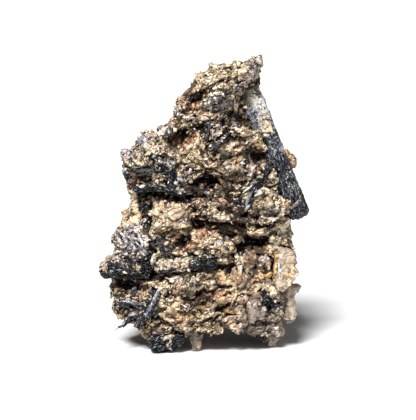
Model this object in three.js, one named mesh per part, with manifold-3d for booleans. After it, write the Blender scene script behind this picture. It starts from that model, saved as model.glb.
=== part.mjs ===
// A hand-size specimen of schorl, the black tourmaline, in the crumbly iron-stained stone that it grew in.
// It stands on the crystals and stone of its broken lower edge.
// Millimetres, +Z up, the front facing -Y, and the origin on the ground below the middle of the specimen.
import * as THREE from "three";
import { ConvexGeometry } from "three/addons/geometries/ConvexGeometry.js";
import { mergeVertices } from "three/addons/utils/BufferGeometryUtils.js";
import Module from "manifold-3d";

const wasm = await Module();
wasm.setup();

// Driving dimensions.
const socketGap = 0.3; // between a crystal and the socket that it sits in
const levelStep = 1.85; // between the rings of points that make the stone's surface
const frontPoints = 29; // of each ring, across the front
const backPoints = 12; // of each ring, across the back
const boxiness = 2.5; // of the stone's level sections: 2 is an ellipse
const sideJitter = 0.5; // how far a point strays along its ring, as a share of the spacing
const levelJitter = 0.7; // how far it strays up or down, as a share of the step between rings
const depthScale = 12; // the stone's half depth, for the direction in which its surface is pushed
const headFoot = 76; // the height at which the head begins to lean
const headRise = 10; // the height over which its lean grows to the full
const headLean = 0.2; // the lean: rise per millimetre to the right of the head's middle
const headMiddle = 6;
const knobCorners = 12;
const pitCorners = 9;
const groundDepth = 20; // of the block that trims the feet flat
const groundSpan = 200;

// The stone's roughness: [cell across and deep, cell high, how far in or out, offset of the pattern].
const roughness = [
  [5, 3, 1.2, 0],
  [2.4, 2, 0.7, 40],
];

// ---- Shapes ---------------------------------------------------------------------------------------------

// Repeatable random numbers from 0 to 1 (mulberry32).
function randomFrom(seed) {
  let state = seed * 2654435761;
  return () => {
    state = (state + 0x6d2b79f5) | 0;
    let t = Math.imul(state ^ (state >>> 15), 1 | state);
    t = (t + Math.imul(t ^ (t >>> 7), 61 | t)) ^ t;
    return ((t ^ (t >>> 14)) >>> 0) / 4294967296;
  };
}

// A three.js geometry as a manifold-3d solid.
function solidOf(geometry) {
  const bare = geometry.clone();
  bare.deleteAttribute("normal");
  bare.deleteAttribute("uv");
  const merged = mergeVertices(bare, 1e-4);
  return new wasm.Manifold(
    new wasm.Mesh({
      numProp: 3,
      vertProperties: merged.attributes.position.array,
      triVerts: new Uint32Array(merged.index.array),
    }),
  );
}

// A manifold-3d solid as a flat-shaded three.js geometry.
function geometryOf(solid) {
  const mesh = solid.getMesh();
  const geometry = new THREE.BufferGeometry();
  geometry.setAttribute("position", new THREE.BufferAttribute(mesh.vertProperties, 3));
  geometry.setIndex(new THREE.BufferAttribute(mesh.triVerts, 1));
  geometry.computeVertexNormals();
  return geometry;
}

const join = (solids) => wasm.Manifold.union(solids);

// An angular lump: the convex hull of points spread over a box with rounded corners, each pushed in or out a
// little, and the whole tilted.
const goldenAngle = Math.PI * (3 - Math.sqrt(5));
const lumpTilt = 0.45;
const lumpLeast = 0.9;
const lumpSpread = 0.25;
function lump([centre, radii], seed, corners) {
  const random = randomFrom(seed);
  const spin = random() * Math.PI * 2;
  const tilt = new THREE.Euler(...[0, 0, 0].map(() => (2 * random() - 1) * lumpTilt));
  const points = [];
  for (let i = 0; i < corners; i++) {
    const up = 1 - (2 * i + 1) / corners;
    const around = Math.sqrt(1 - up * up);
    const angle = i * goldenAngle + spin;
    const point = new THREE.Vector3(around * Math.cos(angle), around * Math.sin(angle), up);
    point.multiplyScalar(lumpLeast + lumpSpread * random()).applyEuler(tilt);
    points.push(point.multiply(new THREE.Vector3(...radii)).add(new THREE.Vector3(...centre)));
  }
  return solidOf(new ConvexGeometry(points));
}

// Smooth noise from -1 to 1 between random values on a lattice of unit spacing.
function latticeValue(i, j, k) {
  let t = Math.imul(i, 374761393) ^ Math.imul(j, 668265263) ^ Math.imul(k, 1274126177);
  t = Math.imul(t ^ (t >>> 13), 1103515245);
  t = Math.imul(t ^ (t >>> 15), 2246822519);
  return ((t ^ (t >>> 16)) >>> 0) / 2147483648 - 1;
}
const ease = (t) => t * t * (3 - 2 * t);
const mix = (a, b, t) => a + (b - a) * t;
function noise(x, y, z) {
  const [i, j, k] = [x, y, z].map(Math.floor);
  const [u, v, w] = [ease(x - i), ease(y - j), ease(z - k)];
  const edge = (dj, dk) => mix(latticeValue(i, j + dj, k + dk), latticeValue(i + 1, j + dj, k + dk), u);
  return mix(mix(edge(0, 0), edge(1, 0), v), mix(edge(0, 1), edge(1, 1), v), w);
}

// The rounded three-sided section of a schorl prism, ridged lengthwise by its striations.
const striation = 0.04;
const threeSided = 0.1;
function schorlSection(radius, sides, swell) {
  const shape = new THREE.Shape();
  for (let i = 0; i < sides; i++) {
    const angle = (i / sides) * Math.PI * 2;
    const ridge = i % 2 ? 1 - striation : 1 + striation;
    const r = radius * ridge * (1 + threeSided * Math.cos(3 * angle));
    shape[i ? "lineTo" : "moveTo"](r * Math.cos(angle), r * swell * Math.sin(angle));
  }
  shape.closePath();
  return shape;
}

// Turns a geometry drawn along +Z so that it runs from one place towards another.
function aim(geometry, from, to, roll) {
  const along = new THREE.Vector3(...to).sub(new THREE.Vector3(...from)).normalize();
  const turn = new THREE.Quaternion().setFromUnitVectors(new THREE.Vector3(0, 0, 1), along);
  return geometry.rotateZ(roll).applyQuaternion(turn).translate(...from);
}

// A schorl prism between the centres of its two ends. Its ends are chamfered, as low terminations are.
function prism({ from, to, radius, sides = 7, swell = 1, roll = 0, chamfer = 0, grow = 0 }) {
  const start = new THREE.Vector3(...from);
  const end = new THREE.Vector3(...to);
  const bevel = radius * chamfer;
  const length = start.distanceTo(end);
  const geometry = new THREE.ExtrudeGeometry(schorlSection(radius - bevel + grow, sides, swell), {
    depth: length - 2 * bevel + 2 * grow,
    bevelEnabled: chamfer > 0,
    bevelSize: bevel,
    bevelThickness: bevel,
    bevelSegments: 1,
    steps: 1,
    curveSegments: 1,
  });
  geometry.translate(0, 0, bevel - grow);
  return solidOf(aim(geometry, from, to, roll));
}

// A tapering crystal with flat sides between two places: rings lists [share of the length, radius].
function taper({ from, to, rings, sides = 6, roll = 0, grow = 0 }) {
  const length = new THREE.Vector3(...from).distanceTo(new THREE.Vector3(...to));
  const profile = rings.map(([share, r]) => new THREE.Vector2(r + grow, share * length));
  profile[0].y -= grow;
  profile[profile.length - 1].y += grow;
  profile.unshift(new THREE.Vector2(0, profile[0].y));
  profile.push(new THREE.Vector2(0, profile[profile.length - 1].y));
  const lathe = new THREE.LatheGeometry(profile, sides);
  return solidOf(aim(lathe.rotateX(Math.PI / 2), from, to, roll));
}

// A broken block of quartz, grown outwards by the gap where it makes its own socket. The radii reach its
// corners, and grow by more than the gap because the facets between them lie nearer.
const blockGrowth = 1.2;
const block = ({ at, radii, seed, corners = 12, grow = 0 }) =>
  lump([at, radii.map((r) => r + grow * blockGrowth)], seed, corners);

// A cleaved slab between an outline in X and Z and a thickness in Y. Its corners move out by more than the
// gap, so that its edges move out by at least the gap.
const cornerGrowth = 1.4;
function slab({ outline, y, thickness, grow = 0 }) {
  const middle = outline.reduce((sum, [x, z]) => [sum[0] + x, sum[1] + z], [0, 0]);
  const [cx, cz] = middle.map((v) => v / outline.length);
  const spread = ([x, z]) => {
    const reach = Math.hypot(x - cx, z - cz);
    const share = (reach + grow * cornerGrowth) / reach;
    return new THREE.Vector2(cx + (x - cx) * share, cz + (z - cz) * share);
  };
  const geometry = new THREE.ExtrudeGeometry(new THREE.Shape(outline.map(spread)), {
    depth: thickness + 2 * grow,
    bevelEnabled: false,
  });
  return solidOf(geometry.rotateX(Math.PI / 2).translate(0, y + thickness / 2 + grow, 0));
}

// ---- The stone ------------------------------------------------------------------------------------------

// How far the stone reaches at each height: [height, left, right, front, back].
const profile = [
  [1.4, -15, 18, -8, 12],
  [4, -18.6, 19.4, -9.6, 13.6],
  [7, -21.6, 22.4, -11.4, 14.6],
  [9.6, -24.6, 24.4, -12, 15.2],
  [12, -27, 25.2, -12.2, 15.8],
  [16, -28, 25.6, -12.6, 16.4],
  [19, -27.4, 25.8, -12.6, 16.8],
  [23, -27.4, 26.4, -12.2, 17.2],
  [28, -26.8, 27.4, -11.8, 17.6],
  [31, -27.4, 27.4, -12, 17.8],
  [34, -26.6, 26.6, -12, 17.8],
  [37, -26.6, 25.8, -12, 17.6],
  [40, -25, 26.4, -12.6, 17.2],
  [43, -22.8, 26.8, -13, 16.8],
  [46, -21.8, 27, -12.6, 16.4],
  [49, -23, 26, -13, 16],
  [52, -23.8, 25.4, -13, 15.4],
  [57, -25.6, 24.8, -13.4, 14.6],
  [59.4, -24.4, 22.6, -13.2, 13.8],
  [62, -21.6, 20.8, -12.6, 13],
  [64.6, -19.2, 19.4, -11.8, 12],
  [66.6, -14.6, 18.4, -11.2, 11.4],
  [68.4, -11, 17.4, -10.8, 10.8],
  [71, -8.6, 16, -10, 10],
  [74, -8.6, 14.4, -9.8, 9.2],
  [76.6, -7.8, 14.8, -11, 8.6],
  [78.6, -5.8, 16, -12, 8],
  [82, -3.8, 16.8, -12.4, 7],
  [85, -3.2, 16.8, -11.4, 6],
];

// Lumps, ledges and hollows of the front: [x, height, half width, half height, how far out, rise per mm].
const frontForms = [
  [6.4, 83, 9.5, 4, 1.2, 0.15],
  [6.6, 77.8, 6, 1.6, 1, 0.1],
  [6.4, 74.4, 7.6, 1.1, -3.4, 0.06],
  [14, 77.6, 3.6, 1, -3.6, 1],
  [-2, 76.4, 2.2, 1.3, -3.2, 0],
  [-5.6, 77.4, 2.2, 1.7, 1.4, 0],
  [-6.6, 73.4, 2.4, 2, 1.6, 0],
  [-2.6, 71.6, 4.6, 1.8, 1.6, 0.1],
  [7.6, 71, 4.4, 1.3, -1.8, 0],
  [9, 67.4, 4, 2.4, 1.6, 0],
  [-12, 66, 4, 1.6, 1.2, 0.2],
  [-7.6, 64, 3.6, 2.3, -4.6, 0.1],
  [-18, 60, 7, 3.4, 1.8, 0.1],
  [-15, 56.8, 7, 1, 1.4, 0],
  [-2.6, 60.4, 4.4, 2.6, 1.6, 0.1],
  [5.6, 60.8, 2, 1.7, -2.6, 0],
  [9.4, 62, 3.4, 2.4, 1.4, 0],
  [15.6, 63.6, 3.6, 1.8, 1.6, -0.2],
  [16.6, 59.4, 2.6, 1.6, -3.4, 0],
  [7, 55, 4.2, 2.2, 1.8, 0.1],
  [1.2, 52, 4.2, 1.5, -3.8, 0.1],
  [9, 51, 4.4, 1.1, 1.2, -0.2],
  [-11, 47.2, 9.4, 1.3, -5, 0.03],
  [4, 45.2, 6.4, 1.3, 2, -0.12],
  [17, 44.6, 5.8, 1.4, 2, -0.06],
  [11, 42.9, 9, 0.8, -3, -0.08],
  [8.8, 41.2, 6, 1.1, 2, -0.08],
  [20.6, 40, 5, 1.3, 1.8, -0.1],
  [4.4, 37.8, 8, 1.6, -5.4, 0],
  [15.8, 37.2, 4.8, 1.2, 2, -0.05],
  [14.2, 33, 4.6, 2.1, -6, 0.05],
  [-12, 42, 5.6, 2.8, 2, 0],
  [-20, 42, 3.6, 2, 1.2, 0.2],
  [-9.2, 36.4, 6.6, 0.9, -3.6, 0.42],
  [-20, 34, 4.4, 2.6, 1.4, 0],
  [-12, 32.4, 2.6, 2, 1.4, 0.4],
  [-6.6, 33.2, 2.6, 1.8, -3.6, 0],
  [2.6, 33, 5.4, 2, 2, -0.2],
  [-15, 27, 0.9, 4.4, -2.6, 0],
  [5.6, 25.6, 3, 1, -2.4, -0.2],
  [-22.4, 19.8, 4.6, 2.4, -4, 0],
  [-21.6, 13.2, 4, 1.6, -3.4, 0.1],
  [-6, 20.8, 5.6, 1.3, 1.8, 0.2],
  [-4.4, 18, 7, 0.9, -3.2, 0.28],
  [-5.6, 15.2, 6.4, 1.3, 2, 0.35],
  [-1.6, 13.2, 6, 0.8, -3, 0.35],
  [-4, 10.2, 6.4, 1.4, 1.8, 0.3],
  [4.8, 17, 2.6, 2.2, 2, 0],
  [7.3, 15, 1, 2.8, -2.6, 0.3],
  [9.6, 20.4, 2.4, 4, 1.6, 0],
  [17.2, 27.4, 2.8, 4, -1.8, 0],
  [19.4, 13.2, 1.9, 2.4, -3.4, 0],
];

// The same for the back, where x still runs to the right as seen from the front.
const backForms = [
  [-13, 24, 9, 5, 2, 0.1],
  [5, 14, 9, 4, 2, -0.1],
  [12, 24, 4, 2, -2.6, 0],
  [-4, 33, 7, 1.4, -2.8, 0.2],
  [14, 38, 8, 3.4, 2, 0.1],
  [-14, 42, 7, 3.6, 1.8, 0.1],
  [0, 50, 6, 1.6, -2.4, -0.2],
  [-8, 57, 8, 3, 1.6, 0.1],
  [9, 62, 5, 3, 1.4, 0],
  [2, 70, 5, 1.4, -2, 0.1],
  [6, 78, 6, 3, 1.2, 0],
];

// Spikes and feet that stand out of the rings: [centre, half sizes].
const knobs = [
  [[15.8, -6, 85.6], [1.6, 2.6, 3.6]],
  [[0.6, -7, 83.6], [4, 4, 2.2]],
  [[8, -6.4, 85.4], [4.4, 4, 2]],
  [[12.4, -1, 86], [4, 4.6, 2.2]],
  [[4, 1, 84.6], [5, 4, 2]],
  [[-16.4, -1, 65.2], [2.8, 4.4, 2.4]],
  [[25.2, 3, 55], [2.4, 4.4, 3.6]],
  [[-12.8, -5, 4], [5.4, 4.4, 4.4]],
  [[-12, 9.4, 3.8], [4, 5, 5]],
  [[19.6, 9, 3.8], [3, 4.6, 5]],
  [[-23, -1.6, 10.2], [3.4, 5, 2.6]],
  [[13, -4.4, 9], [4.4, 5.4, 2.8]],
  [[-22.6, -7.4, 30], [4.4, 4.6, 2.2]],
];

// What is missing deep inside the crust: [centre, half sizes].
const pits = [
  [[-1.8, -8.4, 76.2], [2.2, 4, 1.3]],
  [[-7.6, -9.6, 64.2], [3.2, 4.6, 2]],
  [[1.4, -10, 52.2], [3.8, 4.6, 1.5]],
  [[-14, -8.4, 47.2], [4, 4.4, 1.1]],
  [[-6, -9, 47.4], [4, 4.4, 1.1]],
  [[1, -8, 37.8], [4, 4.4, 1.5]],
  [[8, -7.6, 37.9], [3.6, 4.4, 1.4]],
  [[14, -6.4, 33.2], [3.8, 4.4, 1.9]],
  [[-6.6, -9, 33.2], [2, 4, 1.5]],
  [[16.6, -7.4, 59.4], [2.2, 4, 1.4]],
];

// The arch between the feet, as an outline in X and Z.
const arch = [
  [-7.4, -1],
  [-5.6, 4.6],
  [-3.6, 5.6],
  [0, 5.2],
  [2.4, 6.8],
  [5, 7],
  [7.4, 8.2],
  [9.4, 6.8],
  [12.6, 6],
  [16, 4.6],
  [18, 2],
  [18.6, -1],
];

const unit = (t) => Math.min(Math.max(t, 0), 1);

// The stone's reach at a height: [left, right, front, back].
function reachAt(height) {
  const above = Math.max(profile.findIndex(([z]) => z >= height), 1);
  const [low, high] = [profile[above - 1], profile[above]];
  const share = unit((height - low[0]) / (high[0] - low[0]));
  return [1, 2, 3, 4].map((column) => mix(low[column], high[column], share));
}

// How far the forms push the surface out at x and z: fully up to the first share of their half sizes, then
// easing to nothing at the second.
const formFull = 0.8;
const formEnd = 1.3;
function pushAt(forms, x, z) {
  let push = 0;
  for (const [fx, fz, halfWidth, halfHeight, out, rise] of forms) {
    const dx = (x - fx) / halfWidth;
    const dz = (z - fz - rise * (x - fx)) / halfHeight;
    push += out * ease(unit((formEnd - Math.hypot(dx, dz)) / (formEnd - formFull)));
  }
  return push;
}

// How far the stone's roughness pushes the surface out at a point.
function roughAt(x, y, z) {
  const layer = ([wide, high, out, offset]) => out * noise(x / wide, y / wide + offset, z / high);
  return roughness.reduce((sum, sizes) => sum + layer(sizes), 0);
}

// One point of the surface. across runs from -1 at the left to 1 at the right, and side is -1 in front and 1
// behind. The forms fade out towards the left and right.
const sideFade = 6;
function surfacePoint(across, side, z) {
  const [left, right, front, behind] = reachAt(z);
  const halfWidth = (right - left) / 2;
  const middle = (left + right) / 2;
  const share = unit(Math.abs(across));
  const depth = (side < 0 ? -front : behind) * (1 - share ** boxiness) ** (1 / boxiness);
  const x = middle + across * halfWidth;
  const y = side * depth;
  const outward = new THREE.Vector2(across * share ** 2 * (depthScale / halfWidth), side * (1 - share ** 3));
  outward.normalize();
  const forms = side < 0 ? frontForms : backForms;
  const push = pushAt(forms, x, z) * (1 - share ** sideFade) + roughAt(x, y, z);
  return [x + outward.x * push, y + outward.y * push, z];
}

// The stone's body: rings of surface points at even heights, each point a little off its place in the ring.
// One hub closes the lowest ring and another the highest.
const hubBelow = [2, 2, 2.4]; // X, Y and the height over the lowest ring
const hubAbove = [7.4, -2, 1.2]; // X, Y and the height over the highest ring
const splitChance = 0.5; // that a quad splits one way rather than the other
function body() {
  const random = randomFrom(9);
  const [lowest, highest] = [profile[0][0], profile[profile.length - 1][0]];
  const levels = Math.round((highest - lowest) / levelStep);
  const spots = [];
  for (let i = 0; i < frontPoints; i++) spots.push([-1 + (2 * i) / frontPoints, -1, 2 / frontPoints]);
  for (let i = 0; i < backPoints; i++) spots.push([1 - (2 * i) / backPoints, 1, 2 / backPoints]);
  const positions = [];
  for (let level = 0; level <= levels; level++)
    for (const [place, side, spacing] of spots) {
      const jitter = Math.abs(place) === 1 ? 0 : sideJitter * spacing * (random() - 0.5);
      const even = place + jitter;
      const across = (even + Math.sin((even * Math.PI) / 2)) / 2;
      const offLevel = level % levels ? levelJitter * levelStep * (random() - 0.5) : 0;
      const point = surfacePoint(across, side, mix(lowest, highest, level / levels) + offLevel);
      positions.push(...point);
    }
  const around = spots.length;
  const faces = [];
  for (let level = 0; level < levels; level++)
    for (let i = 0; i < around; i++) {
      const [a, b] = [level * around + i, level * around + ((i + 1) % around)];
      const [c, d] = [a + around, b + around];
      if (random() < splitChance) faces.push(a, b, c, b, d, c);
      else faces.push(a, b, d, a, d, c);
    }
  const top = levels * around;
  const hubs = [positions.length / 3, positions.length / 3 + 1];
  positions.push(hubBelow[0], hubBelow[1], lowest + hubBelow[2]);
  positions.push(hubAbove[0], hubAbove[1], highest + hubAbove[2]);
  for (let i = 0; i < around; i++) {
    const next = (i + 1) % around;
    faces.push(hubs[0], next, i, hubs[1], top + i, top + next);
  }
  for (let i = 0; i < positions.length; i += 3) {
    const lean = headLean * ease(unit((positions[i + 2] - headFoot) / headRise));
    positions[i + 2] += lean * (positions[i] - headMiddle);
  }
  const geometry = new THREE.BufferGeometry();
  geometry.setAttribute("position", new THREE.Float32BufferAttribute(positions, 3));
  geometry.setIndex(faces);
  return solidOf(geometry);
}

// ---- Crystals -------------------------------------------------------------------------------------------
// Each crystal, or group grown together, is a list of shapes: [maker, its measures]. Places are X, Y and Z.

const schorl = {
  schorl_prism_right: [
    [
      prism,
      {
        from: [12.8, -4.6, 79.4],
        to: [28.7, -5.2, 40.4],
        radius: 3.1,
        sides: 12,
        swell: 1.1,
        roll: 0.5,
        chamfer: 0.25,
      },
    ],
    [prism, { from: [20.6, -5.6, 59.6], to: [25.6, -6.4, 44.8], radius: 1.9, roll: 0.2 }],
    [prism, { from: [19.6, -4, 66], to: [27.6, -6, 46], radius: 1.7, roll: 0.9 }],
  ],
  schorl_lath_right: [[prism, { from: [20.2, -9.4, 57.4], to: [12.2, -12.8, 45.6], radius: 1.3, roll: 0.4 }]],
  schorl_spray_shoulder: [
    [prism, { from: [-20.2, -10, 56.8], to: [-9.2, -12.8, 55.4], radius: 1.2, roll: 0.3 }],
    [prism, { from: [-15.8, -12, 59], to: [-9.6, -13.2, 56.4], radius: 1, roll: 1 }],
    [prism, { from: [-9.6, -12.9, 58.2], to: [-9, -12.2, 48.8], radius: 1.4, roll: 0.3 }],
    [prism, { from: [-20.4, -10.6, 49.4], to: [-11.4, -12.8, 50.2], radius: 1.1, roll: 0.7 }],
    [prism, { from: [-13, -12.4, 50.2], to: [-5, -12.8, 48.1], radius: 1.2, roll: 0.2 }],
  ],
  schorl_knob_shoulder: [
    [prism, { from: [-23.6, -5.6, 53.4], to: [-20.4, -4, 52.8], radius: 1.5, roll: 0.2 }],
  ],
  schorl_rod_left: [
    [
      prism,
      { from: [-30.8, -9, 25.2], to: [-15.6, -9.6, 25.4], radius: 2.7, sides: 11, roll: 0.3, chamfer: 0.4 },
    ],
    [
      prism,
      { from: [-29.2, -8.2, 27], to: [-15.2, -8.6, 27.8], radius: 1.8, sides: 8, roll: 0.8, chamfer: 0.4 },
    ],
  ],
  schorl_rod_middle: [
    [
      prism,
      { from: [-14, -12, 26.4], to: [3.8, -12.8, 28.2], radius: 2.1, sides: 11, roll: 0.2, chamfer: 0.35 },
    ],
    [prism, { from: [-13, -13, 26.4], to: [-0.6, -13.6, 28], radius: 1.3, roll: 0.5 }],
  ],
  schorl_blade_low: [
    [prism, { from: [-14, -11.6, 18.8], to: [-17.2, -12, 11.6], radius: 1.6, roll: 0.3 }],
    [prism, { from: [-16.6, -11, 14.8], to: [-19.6, -10.4, 8.6], radius: 1.4, roll: 0.9 }],
  ],
  schorl_blade_cross: [[prism, { from: [-25.4, -10.4, 16.2], to: [-18.6, -10.6, 14.9], radius: 0.9 }]],
  schorl_needle_low: [
    [
      taper,
      {
        from: [-19.8, -7, 11],
        to: [-26.8, -9.4, 6.9],
        rings: [[0, 1.1], [0.45, 0.85], [0.7, 0.45], [1, 0.08]],
      },
    ],
  ],
  schorl_foot_left: [
    [prism, { from: [-16, -8.6, 1.8], to: [-6, -9.4, 5.2], radius: 2.6, sides: 8, roll: 0.4, chamfer: 0.4 }],
    [prism, { from: [-15.6, -6.6, 1.2], to: [-9, -7, 2.6], radius: 2.2, roll: 1.1 }],
  ],
  schorl_stub_upper: [[prism, { from: [0.8, -13, 69.4], to: [1.2, -12, 64.6], radius: 0.9, roll: 0.3 }]],
  schorl_lath_upper: [[prism, { from: [1.6, -13.8, 61.6], to: [7.4, -12.2, 65.6], radius: 0.9 }]],
  schorl_lath_centre: [[prism, { from: [12.8, -12, 62], to: [12, -11.6, 56.4], radius: 0.9 }]],
  schorl_stub_centre: [[prism, { from: [9.6, -14.2, 48.6], to: [9.9, -11.4, 43.8], radius: 1 }]],
  schorl_knob_left: [[prism, { from: [-17.6, -13.6, 39.4], to: [-16.4, -7, 40.2], radius: 1.6, roll: 0.5 }]],
  schorl_knob_upper: [[prism, { from: [-18.6, -12, 44], to: [-16, -6, 44.4], radius: 1.3, roll: 0.1 }]],
  schorl_stub_left: [[prism, { from: [-12.6, -13.4, 31.4], to: [-10.6, -12, 35], radius: 1.1, roll: 0.2 }]],
  schorl_lath_low: [[prism, { from: [17.2, -10.4, 18.9], to: [22.6, -9.8, 12.8], radius: 1.15, roll: 0.3 }]],
  schorl_foot_right: [
    [prism, { from: [13, -6.4, 8.4], to: [18.8, -4.6, 3.6], radius: 1.9, roll: 0.4, chamfer: 0.35 }],
  ],
  schorl_prism_back: [
    [prism, { from: [-3, 11.4, 69], to: [8.6, 16.6, 45], radius: 2.8, sides: 9, roll: 0.6, chamfer: 0.35 }],
    [prism, { from: [1.4, 11.4, 66], to: [10.6, 15.4, 48], radius: 1.9, roll: 0.2 }],
  ],
  schorl_rod_back: [
    [prism, { from: [-19, 15, 32], to: [6, 18.4, 27.6], radius: 2.4, sides: 9, roll: 0.3, chamfer: 0.35 }],
  ],
  schorl_prism_side: [
    [prism, { from: [-18.6, 12, 57], to: [-19.6, 12.4, 41], radius: 2.3, roll: 0.5, chamfer: 0.35 }],
  ],
};

const quartz = {
  quartz_point_low: [
    [taper, { from: [-2.2, -6, 10], to: [-2.5, -6, 0], rings: [[0, 2.6], [0.45, 2.3], [1, 1.3]] }],
  ],
  quartz_block_right: [[block, { at: [14.8, -10, 13], radii: [3, 3.2, 4.6], seed: 71 }]],
  quartz_column_right: [
    [
      taper,
      {
        from: [25.8, -2.4, 8.2],
        to: [26.2, -3, 19.6],
        rings: [[0, 1.4], [0.2, 2], [0.6, 1.5], [1, 1.9]],
        roll: 0.4,
      },
    ],
    [block, { at: [27.6, -3, 18.6], radii: [1.8, 1.8, 1.4], seed: 73, corners: 16 }],
  ],
  quartz_foot_right: [
    [block, { at: [21.6, -0.6, 5.4], radii: [3.2, 4.4, 4], seed: 74 }],
    [block, { at: [20.6, 2, 2], radii: [2.4, 3.2, 2.8], seed: 75 }],
  ],
  quartz_block_back: [[block, { at: [16, 17, 33], radii: [4.6, 3.8, 5], seed: 76 }]],
};

const slabOutline = [
  [21.4, 32.4],
  [27.2, 30],
  [26.8, 26.2],
  [28.3, 24.2],
  [25.6, 20.6],
  [23.4, 18],
  [21.6, 19.4],
  [20.8, 25],
];
const feldspar = {
  feldspar_slab_right: [[slab, { outline: slabOutline, y: -7.2, thickness: 5 }]],
};

// ---- Assembly -------------------------------------------------------------------------------------------

const ground = solidOf(
  new THREE.BoxGeometry(groundSpan, groundSpan, groundDepth).translate(0, 0, -groundDepth / 2),
);

const grownTogether = (shapes, grow = 0) => join(shapes.map(([make, values]) => make({ ...values, grow })));

// The whole stone: its body and knobs joined, then its arch, its pits and a socket for each crystal cut away.
const firstPitSeed = 401;
function matrixStone(crystals) {
  const lumps = knobs.map((sizes, i) => lump(sizes, i + 1, knobCorners));
  const holes = pits.map((sizes, i) => lump(sizes, i + firstPitSeed, pitCorners));
  const archShape = new THREE.Shape(arch.map(([x, z]) => new THREE.Vector2(x, z)));
  const tunnel = new THREE.ExtrudeGeometry(archShape, { depth: groundSpan, bevelEnabled: false });
  holes.push(solidOf(tunnel.rotateX(Math.PI / 2).translate(0, groundSpan / 2, 0)));
  const sockets = crystals.map((shapes) => grownTogether(shapes, socketGap));
  const whole = join([body(), ...lumps]).subtract(join([...holes, ...sockets, ground]));
  const pieces = whole.decompose();
  return pieces.reduce((largest, piece) => (piece.volume() > largest.volume() ? piece : largest));
}

const materials = {
  stone: new THREE.MeshStandardMaterial({ color: 0x9c7f58, roughness: 0.95, metalness: 0 }),
  schorl: new THREE.MeshStandardMaterial({ color: 0x14151a, roughness: 0.35, metalness: 0 }),
  quartz: new THREE.MeshStandardMaterial({ color: 0x8b8178, roughness: 0.25, metalness: 0 }),
  feldspar: new THREE.MeshStandardMaterial({ color: 0xc2a886, roughness: 0.7, metalness: 0 }),
};

function named(name, solid, material) {
  const mesh = new THREE.Mesh(geometryOf(solid), material);
  mesh.name = name;
  return mesh;
}

const specimen = new THREE.Group();
const kinds = [
  [schorl, materials.schorl],
  [quartz, materials.quartz],
  [feldspar, materials.feldspar],
];
for (const [crystals, material] of kinds)
  for (const [name, shapes] of Object.entries(crystals))
    specimen.add(named(name, grownTogether(shapes).subtract(ground), material));

const everyCrystal = kinds.flatMap(([crystals]) => Object.values(crystals));
specimen.add(named("matrix", matrixStone(everyCrystal), materials.stone));

// The origin goes below the middle of the specimen's box.
const centre = new THREE.Box3().setFromObject(specimen).getCenter(new THREE.Vector3());
specimen.children.forEach((mesh) => mesh.geometry.translate(-centre.x, -centre.y, 0));

export default specimen;
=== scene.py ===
"""The look of a schorl specimen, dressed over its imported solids: crumbly iron-stained stone with ledges and
pits, a crust of grains and flakes, black ridged schorl, smoky quartz and a feldspar slab.
Sizes are millimetres until they reach Blender, which takes metres."""

import math
from collections import namedtuple

import bpy
import numpy as np
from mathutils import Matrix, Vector
from mathutils.bvhtree import BVHTree


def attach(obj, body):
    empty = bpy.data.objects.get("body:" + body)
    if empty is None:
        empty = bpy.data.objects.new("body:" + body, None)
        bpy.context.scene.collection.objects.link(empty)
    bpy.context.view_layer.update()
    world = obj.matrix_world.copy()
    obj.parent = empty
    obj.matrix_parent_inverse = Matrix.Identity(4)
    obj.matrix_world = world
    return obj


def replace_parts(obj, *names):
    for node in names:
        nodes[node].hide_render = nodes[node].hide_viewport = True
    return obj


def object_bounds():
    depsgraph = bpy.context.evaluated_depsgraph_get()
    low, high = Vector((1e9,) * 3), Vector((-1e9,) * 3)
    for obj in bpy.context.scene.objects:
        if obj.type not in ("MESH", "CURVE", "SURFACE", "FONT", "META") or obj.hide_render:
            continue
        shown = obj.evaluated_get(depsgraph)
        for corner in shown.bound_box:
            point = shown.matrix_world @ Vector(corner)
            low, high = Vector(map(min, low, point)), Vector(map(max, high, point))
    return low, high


MM = 0.001
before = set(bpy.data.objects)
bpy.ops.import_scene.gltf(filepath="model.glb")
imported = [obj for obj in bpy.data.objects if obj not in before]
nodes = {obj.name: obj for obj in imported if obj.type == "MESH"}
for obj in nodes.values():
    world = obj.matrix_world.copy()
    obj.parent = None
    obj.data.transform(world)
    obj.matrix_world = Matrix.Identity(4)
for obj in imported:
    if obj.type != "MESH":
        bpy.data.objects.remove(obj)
cad_box = [list(corner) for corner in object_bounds()]

# ---- Numbers that drive the look, in millimetres and degrees ----

STONE_MESH = 0.37  # edge length of the stone's mesh
CRYSTAL_MESH = 0.26  # edge length of a crystal's mesh
STONE_SPLIT = 1.5  # the plane in Y between the stone's front piece and its back piece
FRONT_END = 0.0  # the plane in Y about which the front's own spots and cracks fade out
CLEAR_REACH = 2.4  # how far from a crystal its nearness still holds the stone's relief back
MOST_OUT = 1.1  # the farthest that a chunk of the stone stands out
BULGE = 2.4  # how far the most swollen part of the front stands out
GRAIN_ANGLE = 26  # how far the stone's grain rises to the right from level
GRAIN_STRETCH = 2.3  # how much longer the stone's facets are along the grain
HEAD = 74  # the height where the head begins, whose chunks stand out less
SHOULDERS = 60  # the height above which what faces up is worn lower
PIT = (2.6, 2.6, 1.6)  # size of the stone's pits
PIT_DEPTH = 0.7
WIDE_FACETS = 1.4  # size of the stone's facets, which are laid over smaller ones
SMALL_FACETS = 0.58
LARGEST = "schorl_prism_right"
PRISM_DUSTY_FROM = 56  # the height above which the largest prism is dustier and bluer
ROD_COATED_TO = -4  # the place in X that the middle rod's coat reaches from the left
DUST_SHIFTS = {"schorl_foot_left": -0.25, "schorl_blade_low": -0.25}  # crystals with less dust
BLOCK_PEPPER = (0.25, 0.4, 0)  # how thick black specks lie on the blocks, and how broadly they break
CRUMBS = 0.035  # crumbs for each point of a crystal's mesh
CRUMBS_ON_PRISMS = 0.007

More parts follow.
